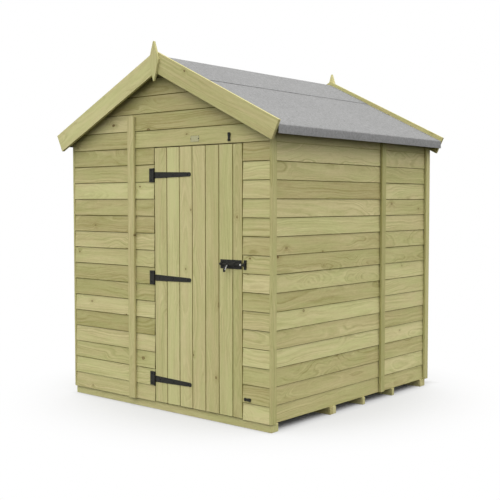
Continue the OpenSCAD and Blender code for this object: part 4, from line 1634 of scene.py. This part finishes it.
class SHED_OT_studio(bpy.types.Operator):
    """Set up the floor, the light and the camera"""

    bl_idname = "shed.studio"
    bl_label = "Studio"

    def execute(self, context):
        scene = context.scene
        scene.view_settings.view_transform = "Standard"
        deselect()
        bpy.ops.mesh.primitive_plane_add(size=60, location=(0, 0, -0.0005))
        floor = context.object
        apply_place(floor)
        floor.name = "studio_floor"
        floor.data.materials.append(self.floor_finish())
        scene.world = self.soft_sky()
        self.lamp("key_light", (0.35, 0.75, -1.0), 0.22, 12)

        lens = bpy.data.cameras.new("photo_camera")
        lens.lens = 64.45
        lens.sensor_width = 36
        camera = bpy.data.objects.new("photo_camera", lens)
        camera.location = (3.9186, -4.6740, 1.2834)
        camera.rotation_euler = (math.radians(90 - 3.077), 0, math.radians(40.196))
        context.collection.objects.link(camera)
        scene.camera = camera
        return {"FINISHED"}

    def soft_sky(self):
        """White to the eye, and brighter towards its top as a light."""
        world = bpy.data.worlds.new("studio_light")
        world.use_nodes = True
        tree = world.node_tree
        background = tree.nodes["Background"]
        seen = shown_rays(tree, add_node(tree, "ShaderNodeLightPath").outputs)
        way = add_node(tree, "ShaderNodeTexCoord").outputs["Generated"]
        height = add_node(tree, "ShaderNodeSeparateXYZ", {0: way}).outputs["Z"]
        sky = weighted(tree, maths(tree, "MAXIMUM", height, 0.0), 1.65, 0.98)
        strength = weighted(tree, sky, maths(tree, "SUBTRACT", 1.0, seen), seen)
        tree.links.new(strength, background.inputs["Strength"])
        background.inputs["Color"].default_value = (1, 1, 1, 1)
        return world

    def lamp(self, name, towards, strength, spread):
        light = bpy.data.lights.new(name, "SUN")
        light.energy = strength
        light.angle = math.radians(spread)
        lamp = bpy.data.objects.new(name, light)
        lamp.rotation_euler = Vector(towards).to_track_quat("-Z", "Y").to_euler()
        bpy.context.collection.objects.link(lamp)

    def floor_finish(self):
        """White paper floor: shaded near the shed, fading into the white background further out."""
        material, tree, shader = new_material("white_floor")
        path = add_node(tree, "ShaderNodeLightPath").outputs
        paper = blended(tree, path["Is Diffuse Ray"], (0.475, 0.475, 0.472, 1), (0.02, 0.02, 0.02, 1))
        tree.links.new(paper, shader.inputs["Base Color"])
        shader.inputs["Roughness"].default_value = 0.9
        shader.inputs["Specular IOR Level"].default_value = 0.1
        glow = add_node(tree, "ShaderNodeEmission", {"Color": (1, 1, 1, 1), "Strength": 1.0})
        place = object_place(tree)
        far = vector_length(tree, place)
        x, y = add_node(tree, "ShaderNodeSeparateXYZ", {0: place}).outputs[:2]
        beside = eased(tree, maths(tree, "ABSOLUTE", x), 0.755, 0.90)
        before = eased(tree, y, -0.80, -0.90)
        behind = eased(tree, y, 0.95, 1.05)
        clear = maths(tree, "MAXIMUM", beside, maths(tree, "MAXIMUM", before, behind))
        fade = product(tree, eased(tree, far, 0.85, 1.75, 0.5, 1.0), clear)
        fade = product(tree, fade, shown_rays(tree, path))
        mix = add_node(tree, "ShaderNodeMixShader", {0: fade, 1: shader.outputs[0], 2: glow.outputs[0]})
        tree.links.new(mix.outputs[0], tree.nodes["Material Output"].inputs["Surface"])
        return material


class SHED_PT_panel(bpy.types.Panel):
    """Sizes, colours and build steps of the shed"""

    bl_idname = "SHED_PT_panel"
    bl_label = "Garden Shed"
    bl_space_type = "VIEW_3D"
    bl_region_type = "UI"
    bl_category = "Shed"

    def draw(self, context):
        layout = self.layout
        for group in (context.scene.shed_sizes, context.scene.shed_colours):
            for key in group.__annotations__:
                layout.prop(group, key)
        for operator in OPERATORS:
            layout.operator(operator.bl_idname)


OPERATORS = (
    SHED_OT_walls,
    SHED_OT_strips,
    SHED_OT_base,
    SHED_OT_framing,
    SHED_OT_roof_boards,
    SHED_OT_felt,
    SHED_OT_bargeboards,
    SHED_OT_door,
    SHED_OT_hinges,
    SHED_OT_bolt,
    SHED_OT_turn_buttons,
    SHED_OT_fasteners,
    SHED_OT_bare_plate,
    SHED_OT_studio,
)
CLASSES = (ShedSizes, ShedColours, *OPERATORS, SHED_PT_panel)


def register():
    for item in CLASSES:
        bpy.utils.register_class(item)
    bpy.types.Scene.shed_sizes = bpy.props.PointerProperty(type=ShedSizes)
    bpy.types.Scene.shed_colours = bpy.props.PointerProperty(type=ShedColours)


def unregister():
    del bpy.types.Scene.shed_colours
    del bpy.types.Scene.shed_sizes
    for item in reversed(CLASSES):
        bpy.utils.unregister_class(item)


def main():
    register()
    bpy.ops.shed.walls()
    bpy.ops.shed.strips()
    bpy.ops.shed.base()
    bpy.ops.shed.framing()
    bpy.ops.shed.roof_boards()
    bpy.ops.shed.felt()
    bpy.ops.shed.bargeboards()
    bpy.ops.shed.door()
    bpy.ops.shed.hinges()
    bpy.ops.shed.bolt()
    bpy.ops.shed.turn_buttons()
    bpy.ops.shed.fasteners()
    bpy.ops.shed.bare_plate()
    bpy.ops.shed.studio()


if __name__ == "__main__":
    main()
